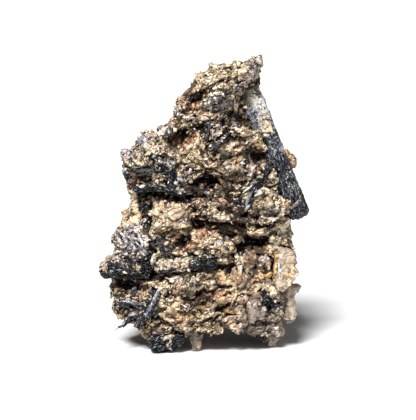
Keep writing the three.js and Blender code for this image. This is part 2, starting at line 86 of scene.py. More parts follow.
# What is strewn over the stone: how many places are tried, and the least and the most half length.
FRAGMENTS = ((420, 0.6, 1.2), (3600, 0.22, 0.6))
GRAINS = (3200, 0.14, 0.4)
FLAKES = (2200, 0.25, 0.7)
NEEDLES = (3500, 0.6, 1.6)
NEEDLE_WIDTHS = (0.12, 0.26)

CAMERA_AIM = (0.88, -2.77, 41.86)
CAMERA_DISTANCE = 700
CAMERA_HEIGHT_ANGLE = 8  # above the horizon
CAMERA_LENS = 200
KEY_SUN = (-14, 44, 9, 18)  # azimuth, elevation, strength, how wide it shines from
FILL_SUN = (24, 14, 1.2, 60)
SURROUND_LIGHT = 0.04  # how strongly the surround lights, though it looks white
FLOOR_WIDTH = 40  # metres


def rgb(*channels):
    """A colour given as the eye reads it, 0 to 255, in the linear values that shaders use."""
    return tuple(v / 255 / 12.92 if v < 11 else ((v / 255 + 0.055) / 1.055) ** 2.4 for v in channels)


CREAM = rgb(223, 204, 172)
SAND = rgb(196, 170, 132)
TAN = rgb(196, 162, 120)
BROWN = rgb(110, 88, 62)
RUST = rgb(178, 108, 54)
PINK_BROWN = rgb(180, 146, 118)
LILAC = rgb(196, 188, 194)
GREY = rgb(140, 134, 128)
OLIVE = rgb(128, 124, 98)
MOSS = rgb(80, 80, 66)
LICHEN = rgb(150, 156, 134)
BLACK = rgb(26, 26, 29)
SMOKE = rgb(128, 112, 104)
FROST = rgb(206, 206, 208)
WHITE = rgb(228, 219, 204)
# Dark earth in the schorl's dust, and a painted shadow under the head's lower right edge.
DIRT_AND_SHADOW = rgb(66, 52, 36)
CRACK = rgb(20, 13, 6)
DARK_FACET = rgb(56, 50, 46)
OCHRE = rgb(206, 166, 108)
HONEY = rgb(196, 160, 108)
DRAB = rgb(160, 144, 128)
BLUISH = rgb(126, 130, 144)
CHARCOAL = rgb(52, 54, 62)
STEEL = rgb(104, 108, 130)
# A painted highlight on the schorl's striations.
GLINT = rgb(180, 184, 190)
SPECK = rgb(70, 60, 52)
# The lighter colour of each pair is a painted sheen along the striations.
SCHORL = (rgb(2, 2, 2), rgb(48, 50, 56))  # each crystal's deep colour and its lighter one
COATED_SCHORL = (rgb(4, 4, 5), rgb(72, 75, 84))
QUARTZ = (rgb(122, 104, 88), rgb(206, 190, 170))
# A darker quartz: the point's own darker colour, and painted shade on the block that faces up.
DARKER_AND_SHADED_QUARTZ = (rgb(80, 70, 60), rgb(160, 146, 132))
FELDSPAR = (rgb(132, 116, 100), rgb(184, 170, 152))
FLOOR = ((0.6, 0.6, 0.6), (0.61, 0.61, 0.61))

# Where each look gathers on the front: (x, height, half width, half height, rise per mm in x, how much).
# The pale spots just below the head are partly painted light, lifting the shadow the head casts there.
PALE_SPOTS = [
    (-18, 61.4, 9, 4.4, 0.2, 1), (-22, 33, 5, 4, 0, 0.6), (20, 50, 5, 5, 0, 0.4),
    (4.4, 74.6, 5.4, 4, 0, 1), (19, 6, 6, 3, 0, 0.8), (5, 85, 9, 3.4, 0.15, 0.7),
    (-3, 72.6, 5, 3, 0, 0.6), (-17, 61, 8, 4.2, 0.1, 0.6), (16.6, 62.4, 4.4, 3, -0.3, 0.5),
    (5.6, 57, 3, 2, 0, 0.5), (-12, 42.6, 6, 4, 0, 0.6), (-8, 29.4, 8, 1.8, 0.1, 0.8),
    (10, 45.4, 12, 1.8, -0.08, 0.5), (9, 41.4, 7, 1.5, -0.08, 0.5), (20, 38, 7, 4, 0, 0.4),
    (22, 25, 2.4, 9, 0, 0.5), (-6, 20.8, 7, 2, 0.2, 0.3), (24, 48, 4, 5, -1, 0.4), (17, 50, 5, 6, 0, 0.5),
    (8, 76.6, 8, 3, 0, 0.9), (-22, 33.4, 6.4, 4.6, 0, 1), (20, 12, 6, 6, 0, 0.4), (18, 6, 6, 3, 0, 0.6),
]
RUST_SPOTS = [
    (-7.4, 64, 4.6, 3, 0, 0.8), (25.4, 55.6, 3, 4, 0, 0.5), (1.6, 52, 4.6, 2, 0, 0.7),
    (-6.4, 33, 3.4, 2.8, 0, 0.9), (14, 32.4, 6, 3, 0, 0.4), (4.6, 37, 9, 2, 0, 0.4),
    (18.2, 27, 3.6, 6, 0, 0.45), (4.6, 17, 3.4, 3, 0, 0.8), (-5, 76, 4, 3, 0, 0.4),
    (3, 22, 8, 4, 0.2, 0.35), (-4, 13, 8, 4, 0.3, 0.4), (14, 68, 4, 3, 0, 0.3),
]
DARK_SPOTS = [
    (10, 82.4, 6, 2.4, 0.5, 0.3), (9, 77.6, 8.6, 3.4, 0.1, 0.35), (3, 67, 9, 3, 0.1, 0.35),
    (-14, 55.4, 10, 2.4, 0, 0.6), (-14, 51, 10, 2.8, 0, 0.5), (6, 48.4, 8, 3, 0, 0.4),
    (-22, 17, 6, 7, 0, 0.6), (-13, 5, 8, 5, 0, 0.5), (16, 6, 6, 4, 0, 0.2), (-14, 30, 12, 3, 0, 0.4),
    (22, 42, 6, 2, 0, 0.3),
]
SMOKE_SPOTS = [
    (-7, 42, 2.8, 2, 0, 0.7), (12.3, 30.4, 2.2, 1.6, 0, 0.7), (8.4, 55.2, 2.2, 1.5, 0, 0.6),
    (9.2, 23.6, 2, 1.4, 0, 0.5), (6, 29.1, 2, 1.4, 0, 0.6), (14.6, 12, 6, 7, 0, 0.9),
    (21, 8, 6, 7, 0, 0.8), (-4, 6, 5, 4, 0, 0.4),
]
OLIVE_SPOTS = [
    (7.6, 54, 3.6, 2, 0, 0.9), (6.2, 60, 2, 1.8, 0, 0.8), (22.6, 36, 3, 1.2, 0, 0.7),
    (6.6, 29.4, 2, 1.4, 0, 0.6), (-2, 23, 4, 3, 0, 0.3),
]
LILAC_SPOTS = [
    (14.6, 86, 1.8, 2.6, 1, 0.8), (11, 80.6, 5, 1.8, 0.5, 0.5), (-18.4, 63.6, 3, 1.6, 0.2, 0.7),
    (-12.4, 66.4, 2, 1.4, 0.3, 0.9), (-23, 59.6, 2.6, 1.8, 0, 0.7), (-19.6, 60.6, 2.2, 0.7, 0, 0.8),
    (-7, 52.8, 2.4, 1.4, 0, 0.5), (-4.2, 70.6, 2, 0.6, 0, 0.8), (3.6, 74.6, 3.6, 3, 0, 0.6),
    (12.4, 55, 1.8, 3, 0, 0.6), (12.8, 47.4, 1.6, 2.6, 0.6, 0.9), (20.4, 42.6, 3, 2, 0, 0.6),
    (-21.4, 37.2, 2.4, 1.6, 0, 0.7), (-19, 32, 4, 4, 0, 0.6), (-24.6, 32.6, 4, 4, 0, 0.7),
    (16.4, 28, 3, 2, 0, 0.5), (22, 24, 0.8, 4, 0, 0.7), (16.4, 15.6, 2, 1.2, 0, 0.5),
]
PINK_SPOTS = [
    (-5.6, 77.6, 3, 3, 0, 0.8), (-6.6, 73.4, 3, 2.4, 0, 0.8), (-16, 66.4, 3, 2, 0, 0.5),
    (-2, 63, 5, 3, 0, 0.4), (17, 56, 3, 2, 0, 0.6), (9, 62.4, 3, 2, 0, 0.4), (4, 50, 4, 2, 0, 0.4),
    (-6, 42, 4, 3, 0, 0.5), (6, 36.4, 6, 1.4, 0, 0.5), (14, 29, 5, 3, 0, 0.6), (2, 22, 4, 3, 0, 0.6),
    (10, 14, 3, 3, 0, 0.6),
]

# Where the front is darker and browner: partly duller stone, partly painted shade beside its cracks and
# cavities.
DULL_AND_SHADED_SPOTS = [
    (-8.4, 42, 2, 1.8, 0, 0.8), (5.7, 24, 2, 1.6, 0, 0.8), (-22.8, 46, 2, 2, 0, 0.6),
    (18.6, 45.4, 2, 1.4, 0, 0.6), (22.2, 34.8, 1.6, 1.2, 0, 0.6), (16, 24.4, 5, 3.2, 0, 0.8),
    (-6.8, 42, 3, 2.2, 0, 1), (13.6, 30, 5, 3.4, 0, 1), (-7.4, 41.6, 2.2, 1.6, 0, 0.8),
    (8.2, 54, 2.6, 2, 0, 1), (12.4, 30.4, 2.2, 1.6, 0, 0.8), (-13.6, 45.2, 2.6, 1.4, 0, 0.7),
    (21.8, 34.6, 1.6, 1.2, 0, 0.8), (-15.2, 21.6, 2.2, 1.4, 0, 0.8), (-8, 16, 2, 1.2, 0, 0.7),
    (6.4, 29.2, 2.2, 1.4, 0, 0.7), (18.4, 39.8, 2, 1.2, 0, 0.8), (18.8, 45.6, 2, 1.4, 0, 0.6),
    (9, 23.4, 2.2, 1.6, 0, 0.6), (15, 22, 5, 3, 0, 0.4), (8, 45, 9, 3, 0, 0.3), (14.6, 14, 4, 5, 0, 0.4),
    (4, 53, 8, 5, 0, 0.5), (11, 44.6, 10, 2, 0, 0.4), (14, 33, 6, 2, 0, 0.6), (5, 21, 7, 4, 0, 0.5),
    (-8, 63, 5, 4, 0, 0.5),
]

# Where the front swells out, the amounts being shares of BULGE.
BULGE_SPOTS = [
    (3.6, 75, 4.4, 3.6, 0.2, 0.7), (-6, 76.6, 3, 3, 0, 0.6), (-12, 41, 7, 4, 0.2, 0.5),
    (9, 66, 4, 3, 0, 0.5), (20, 27, 4, 5, 0, 0.4),
]

# Sheltered places where the painted shade of the hollows is left out.
UNSHADED_SPOTS = [
    (15.2, 35, 2, 1.2, 0, 0.7), (14.4, 47.2, 2, 1.6, 0, 0.8), (-10.2, 30.4, 3, 1, 0, 0.7),
    (-17, 58.4, 3, 1.2, 0, 0.9), (13.4, 46, 2, 1.6, 0, 0.9), (-10, 35.2, 2.6, 1.8, 0.4, 0.7),
    (-16.2, 36.8, 1.6, 1.4, 0, 0.9), (-3.2, 12.4, 2, 1.6, 0, 0.8), (0.2, 24.4, 2.4, 1.2, 0, 0.7),
    (14.6, 18, 2, 1.8, 0, 0.7), (13, 69, 2, 1.6, 0, 0.7), (12.8, 64, 2, 1.4, 0, 0.8),
    (-18, 61.6, 8, 4, 0.2, 0.9), (20, 50, 5, 4, 0, 0.5), (4, 75.6, 6, 4.4, 0, 1), (-13, 40, 7, 4, 0, 0.5),
    (8, 76, 7, 3.4, 0, 0.9), (19, 6, 6, 3, 0, 0.9), (-22, 33.4, 6, 4.6, 0, 1), (-14, 54, 8, 3, 0, 0.4),
]

# Where the front breaks in broad clean faces rather than grains.
BROAD_SPOTS = [
    (14, 24, 9, 9, 0, 0.9), (14, 13, 7, 6, 0, 0.9), (4, 20, 6, 5, 0, 0.6), (-12, 41.6, 6, 4, 0, 0.9),
    (-22, 41, 3, 5, 0, 0.9), (-23, 50, 3, 4, 0, 0.7), (-4, 40, 5, 3, 0, 0.5), (-17, 17, 4, 4, 0, 0.7),
    (22, 38, 4, 4, 0, 0.7), (9, 35, 4, 2, 0, 0.5), (-7, 13, 7, 4, 0, 0.4), (9, 59, 5, 4, 0, 0.5),
    (16, 56, 4, 3, 0, 0.5),
]

# Broken blocks, plates and laths of the front, by colour: x, height, half length, half width, half thickness,
# and how far the length turns up from level.
BLOCKS = [
    (OCHRE, [
        (7.6, 13, 1.5, 1.3, 0.8, 0), (19, 23.2, 1.9, 0.8, 0.6, 10), (17.6, 22.4, 1.4, 0.6, 0.6, 20),
        (21.2, 21.6, 1.6, 0.7, 0.6, -70), (20.9, 25.8, 2.4, 0.6, 0.6, 84),
        (21.2, 29.4, 1.6, 0.6, 0.6, 100), (-1.4, 14.2, 2.6, 1.2, 1, 15), (14.6, 63.2, 1.5, 1, 0.8, -10),
    ]),
    (RUST, [(-1.2, 48.4, 1, 0.5, 0.5, 60)]),
    (TAN, [
        (4.6, 17, 2, 1.5, 1.1, 70), (4.5, 23.4, 2.2, 0.9, 0.9, 80), (7.6, 22.6, 1.9, 1.4, 0.9, 30),
        (15.2, 23, 1.7, 1.2, 0.8, 0), (10, 58.4, 2.3, 1.1, 0.8, 30), (-6.6, 11.6, 2, 1.3, 1, -30),
        (-10.6, 5.2, 1.6, 0.8, 0.6, 0), (20.8, 51.6, 1.8, 1, 0.8, -30), (-17.8, 17.6, 1.3, 0.8, 0.6, 60),
    ]),
    (SAND, [
        (-13.8, 35.2, 1.5, 0.45, 0.6, 62), (-12.2, 37.1, 1.3, 0.45, 0.6, 38),
        (-10, 38.3, 1.4, 0.45, 0.6, 18), (-7.4, 39, 1.5, 0.4, 0.6, 4), (-11.6, 33.6, 1.7, 0.5, 0.6, 62),
        (-10.3, 35.8, 1.3, 0.5, 0.6, 42), (-8.3, 36.9, 1.3, 0.45, 0.6, 14), (-2.2, 60, 2, 0.4, 0.6, -40),
        (2, 59.3, 2.2, 0.4, 0.6, -55), (9.4, 19.4, 3.4, 0.7, 0.6, 54), (13.6, 19.4, 1.4, 0.6, 0.6, 60),
        (9.6, 34.2, 2.2, 1.2, 0.8, 30), (-9.2, 14.6, 1.6, 0.9, 0.8, 20), (-22.6, 42, 2.6, 0.9, 0.7, 62),
        (7.8, 32.4, 1.5, 0.9, 0.8, -60), (11.2, 66.6, 2.3, 1.1, 0.9, -15), (15.8, 37, 2.2, 0.9, 0.8, 5),
        (12, 48, 1.4, 0.8, 0.7, 20), (-3, 58.6, 1.6, 0.8, 0.7, -20),
    ]),
    (CREAM, [
        (15.2, 18.8, 1.6, 0.8, 0.7, 75), (20, 31.8, 1.5, 0.6, 0.6, 40), (19.6, 31.8, 1.3, 0.5, 0.6, -40),
        (9.8, 27.8, 2.6, 0.8, 0.7, 112), (11, 28, 2.2, 0.5, 0.6, 106), (-3.4, 18.6, 1.4, 0.9, 0.8, 45),
        (-12.6, 20.8, 2.4, 0.6, 0.6, 62), (-24, 24.9, 0.8, 0.6, 0.9, 0), (5, 28.6, 1.7, 1, 0.8, 10),
        (15.4, 47.2, 1.9, 1.1, 0.9, 20), (5, 41.6, 2, 0.8, 0.8, -5), (6.4, 57.3, 2.1, 0.9, 0.8, 22),
        (8.5, 58.7, 1.4, 0.7, 0.7, 50),
    ]),
    (SAND, [(25, 43.8, 1.7, 0.8, 0.6, 20)]),
    (GREY, [(26.8, 44.7, 1.3, 0.5, 0.6, 34)]),
    # Pale blocks below the head: partly its pale stone, partly painted light where the head shades it.
    (FROST, [(7.6, 75, 1.1, 0.7, 0.8, 20), (9.2, 73.4, 1, 0.7, 0.8, 60), (0.8, 73.8, 1, 0.7, 0.8, -20)]),
    (WHITE, [
        (-25.4, 33.4, 1.2, 0.6, 0.7, -50), (-17.6, 33.4, 1.1, 0.6, 0.7, -50),
        (-21.6, 32.8, 1, 0.6, 0.7, -60),
    ]),
    (FROST, [(12.3, 44.6, 1.5, 0.45, 0.6, 62)]),
    (SAND, [(24.6, 43.2, 1.9, 1, 0.8, 20)]),
    (FROST, [
        (1.6, 75.7, 1.2, 0.8, 0.8, 40), (3.9, 76.8, 1.3, 0.8, 0.8, -10), (5.4, 74.7, 1.2, 0.8, 0.8, 60),
        (2.4, 73.4, 1, 0.7, 0.7, 10), (-22, 34.8, 2.2, 0.45, 0.6, -50), (-18.9, 35, 2.4, 0.45, 0.6, -58),
        (-24.6, 35.2, 1.6, 0.4, 0.6, -40), (-20.6, 31.2, 1.8, 0.4, 0.6, -50),
        (-23.8, 54.8, 1, 0.8, 0.7, 60),
    ]),
    (BLACK, [
        (3.3, 74.6, 0.7, 0.5, 0.7, 0), (-20.2, 35.6, 2, 0.35, 0.5, -55), (-23.6, 31, 1.6, 0.35, 0.5, -40),
    ]),
    # Painted shadow: dark blocks under the head's lower right edge.
    (DIRT_AND_SHADOW, [(14.6, 78, 1.6, 0.9, 0.9, -20), (15.6, 79.6, 1, 0.8, 0.8, 70)]),
    (WHITE, [
        (-25.8, 28.2, 1.2, 1, 1.7, 20), (-15.6, 28.3, 1.3, 0.9, 1.4, 60), (-16.3, 36.8, 1.8, 0.9, 1, 60),
    ]),
    (CREAM, [
        (-15.2, 26.6, 1, 0.7, 1.2, 80), (-10.2, 30.9, 2.6, 0.9, 1.4, 2), (-13.4, 30.5, 1.4, 0.8, 1.2, 10),
        (-19.2, 57.7, 1.7, 0.9, 0.8, 8), (-21.4, 56.6, 1.3, 0.8, 0.8, 10), (7.2, 77.2, 1.3, 0.8, 0.8, 20),
    ]),
    (WHITE, [
        (15, 48.8, 1.6, 1, 0.9, 30), (-15.4, 55.6, 0.6, 0.4, 0.6, 0), (-18.4, 50.4, 0.8, 0.4, 0.6, 10),
        (-16.6, 52.4, 0.8, 0.5, 0.6, 20), (-10.8, 51.6, 0.6, 0.4, 0.6, 60), (9.6, 78.4, 1, 0.7, 0.7, 40),
    ]),
    (CREAM, [
        (0, 70.9, 1.6, 0.9, 0.8, 20), (13.2, 64.4, 1.4, 0.9, 0.8, 0), (12.9, 43.4, 1.4, 0.7, 0.7, 10),
        (17.6, 5.6, 1.7, 1.1, 0.9, -30), (21.3, 10.4, 1.3, 0.9, 0.8, 10), (15.8, 26.4, 1.2, 0.8, 0.8, 80),
    ]),
    (SMOKE, [(19.6, 4.4, 1.4, 1, 0.9, -30), (15.4, 6.6, 1.2, 0.6, 0.7, -35)]),
    (BLACK, [
        (17.2, 66, 2.4, 0.22, 0.4, -6), (17.2, 64.7, 1.5, 0.16, 0.3, -14), (19.6, 65, 1.2, 0.2, 0.3, -60),
    ]),
    (PINK_BROWN, [(25.6, 57.2, 1.6, 1, 0.8, -75)]),
    (TAN, [(24.9, 59, 1.5, 1, 0.8, -70), (24.2, 44.8, 1.6, 1, 0.7, 30)]),
    (CREAM, [(-4.6, 62.4, 1.6, 0.8, 0.8, 70), (10.6, 84.6, 1.6, 0.9, 0.8, 20)]),
    (DRAB, [
        (2.2, 21.8, 1.7, 1.2, 0.9, 20), (11.2, 21.8, 3.2, 0.7, 0.6, 58), (10.6, 13.4, 1.8, 1.2, 0.9, 10),
    ]),
    (BROWN, [
        (13.4, 27.8, 2.2, 1.5, 0.9, 70), (16.4, 30.6, 1.6, 0.9, 0.8, -30), (14.6, 25, 1.4, 0.9, 0.8, 60),
    ]),
    (DRAB, [
        (21.8, 12.6, 1.6, 1.1, 0.8, -40), (23.2, 15.6, 1.4, 1.1, 0.8, -50), (21.6, 33, 2.2, 0.9, 0.8, 85),
        (24.2, 38.6, 2, 1.3, 0.9, 50), (17.6, 43, 1.6, 0.9, 0.8, 0), (-4.4, 52, 1.3, 0.8, 0.7, -30),
        (20, 47.6, 1.3, 0.9, 0.8, 30), (3.4, 45.4, 1.4, 0.9, 0.8, -10),
    ]),
    (PINK_BROWN, [
        (10.8, 16.6, 1.8, 1, 0.8, -10), (-8.2, 20, 1.4, 0.9, 0.7, 40), (-3.4, 32.6, 1, 0.7, 0.8, 10),
        (17, 56.2, 1.7, 0.8, 0.7, 20), (-5.2, 78, 1.9, 1.2, 1, 20), (4.4, 46.4, 1.8, 0.9, 0.8, 0),
    ]),
    (SMOKE, [
        (18.4, 20.9, 1.6, 0.7, 0.7, -20), (14.6, 14.4, 2.4, 1.5, 1, 80), (16.8, 12.4, 1.8, 1.3, 0.9, 40),
        (20.4, 5.4, 1.8, 1.3, 0.9, -30), (-18.6, 5.4, 1.2, 0.9, 0.9, 0), (-13, 6.6, 2, 1.1, 0.8, 10),
        (16.6, 26.6, 1.9, 1, 0.9, 40),
    ]),
    (LILAC, [(17.6, 28.4, 1.4, 0.6, 0.7, 60), (18.6, 11, 2.1, 0.9, 0.8, -10)]),
    # The last two are painted highlights: pale streaks along the low blade and along the lath beside it.
    (FROST, [
        (22.2, 24, 3.4, 0.35, 0.5, 92), (-16, 14.6, 1.7, 0.16, 0.8, 68),
        (-21.6, 15.9, 2.4, 0.14, 0.75, -14),
    ]),
    (LILAC, [
        (-14.4, 18.4, 1.8, 0.5, 0.5, 68), (-20.8, 11.6, 1.6, 1, 0.7, 45), (-21.2, 37.2, 1.6, 1, 0.8, 20),
        (-19, 32.8, 2.4, 0.6, 0.6, -50), (3.2, 34, 2.1, 1.2, 0.8, -30), (-23.6, 60, 1.4, 0.8, 0.7, 10),
        (-19.4, 60.6, 1.6, 0.5, 0.6, 0), (-7.4, 52.6, 1.4, 1, 0.8, 20), (20.6, 42.6, 1.9, 1.2, 0.9, 40),
        (0.6, 48.6, 1.2, 0.8, 0.7, 0), (3.6, 66.6, 2, 0.4, 0.6, 75),
    ]),
    # Bluish laths; the long one at -15.6 lies along the low blade as a painted sheen on it.
    (STEEL, [
        (-21.4, 15.6, 3.5, 0.65, 0.5, -14), (-23.6, 13.6, 1.8, 0.5, 0.4, -28),
        (-21.4, 18.8, 0.8, 0.5, 0.3, 40), (-15.6, 15.6, 3.4, 0.6, 0.5, 68),
        (-19.4, 13.6, 2, 0.35, 0.4, -24), (-16, 19.2, 1.4, 0.3, 0.4, 110),
    ]),
    (CHARCOAL, [
        (-19.6, 14, 3, 0.4, 0.5, -20), (-21.6, 17.2, 1.6, 0.6, 0.6, 50), (-13.4, 13.4, 2, 0.5, 0.6, 60),
    ]),
    (BLUISH, [
        (-6.4, 21.6, 1.4, 0.5, 0.4, 70), (-24, 14, 1.3, 0.8, 0.6, -20), (-22.4, 32, 1.5, 0.7, 0.7, -30),
    ]),
    (CHARCOAL, [
        (-24.6, 34, 2.6, 0.3, 0.5, -55), (-22.4, 31, 2.4, 0.3, 0.5, -48),
        (-18.4, 34.6, 2.4, 0.3, 0.5, -52),
    ]),
    (LILAC, [
        (-23.4, 33, 2.8, 0.35, 0.5, -52), (-20.6, 34, 2.6, 0.35, 0.5, -55),
        (-17.4, 32, 2.2, 0.35, 0.5, -50),
    ]),
    (BLACK, [
        (-21.6, 34.6, 2.2, 0.25, 0.5, -52), (-16, 35.4, 2, 0.3, 0.5, -60),
        (-25.6, 31.6, 1.8, 0.3, 0.5, -45),
    ]),
    (BLUISH, [
        (-18, 63.6, 1.5, 0.8, 0.7, -20), (8.6, 68.8, 1, 0.5, 0.6, 40), (12.6, 46.8, 2.4, 0.5, 0.6, 55),
    ]),
    (SMOKE, [
        (23.2, 11, 2.4, 1.7, 1.4, 70), (24.6, 9.8, 1.7, 1.1, 1.2, -20), (21.6, 9.4, 2.2, 1.1, 1.2, 10),
    ]),
    (WHITE, [
        (-12.6, 66.4, 1.3, 0.7, 0.6, 30), (-4.4, 70.6, 1.6, 0.4, 0.5, 0),
        (-14.5, 51.7, 0.7, 0.5, 0.6, 80), (12.4, 49.6, 0.9, 0.6, 0.6, 40), (16.6, 49.8, 1, 0.6, 0.6, 10),
    ]),
    (OLIVE, [
        (-5.6, 22.9, 1.5, 0.45, 0.5, -38), (-4.4, 20.9, 1.4, 0.45, 0.5, -78),
        (-5.2, 18.8, 1.2, 0.4, 0.5, -110),
    ]),
    (GREY, [
        (-17, 54.2, 3, 0.25, 0.5, 6), (-13, 53.8, 2.6, 0.25, 0.5, -8), (-19.4, 56.4, 2, 0.25, 0.5, 12),
    ]),
    (MOSS, [(8.3, 54, 2.2, 1.4, 0.8, -30), (6.3, 60.6, 1.5, 1.2, 0.7, 0)]),
    (OLIVE, [(-4.6, 66.6, 1.7, 0.6, 0.6, 50), (22.4, 36, 2, 0.8, 0.6, 0)]),
    (CHARCOAL, [
        (-12.6, 58.6, 2.8, 0.5, 0.8, -28), (-16, 55.4, 3.2, 0.7, 0.8, 5), (1.2, 68, 2.4, 0.4, 0.6, 85),
        (3, 62.6, 1.6, 0.8, 0.7, 30), (-13, 32.4, 2.2, 0.4, 0.7, -60), (5.8, 33, 1.6, 0.9, 0.8, -30),
        (-10.6, 33.4, 2.2, 0.4, 0.6, -58), (-21, 30.4, 1.6, 0.8, 0.7, 30),
    ]),
    (BLACK, [
        (-10, 58.6, 2.4, 0.6, 0.8, -45), (-11.8, 33, 2.4, 0.5, 0.7, -55),
        (-22.6, 27.6, 1.4, 0.6, 0.8, 30),
    ]),
    (BROWN, [
        (4.2, 53.2, 2.2, 0.6, 0.7, -50), (16.8, 60.4, 1.8, 0.7, 0.6, 10), (8, 37.4, 2.4, 0.7, 0.6, -5),
    ]),
    (CREAM, [(11.4, 75.4, 1.2, 0.8, 1, 70), (10, 74.6, 1.1, 0.8, 1, 20), (12, 73.4, 0.9, 0.7, 0.9, 0)]),
    (WHITE, [
        (16.4, 5.8, 1, 0.7, 0.9, -20), (18.4, 4.6, 0.9, 0.6, 0.9, 10), (21, 6.6, 1, 0.7, 0.9, -30),
        (8, 77, 1, 0.7, 0.9, 20), (5, 78, 0.9, 0.7, 0.9, 10), (-26, 32.6, 0.9, 0.6, 0.9, 20),
    ]),
]

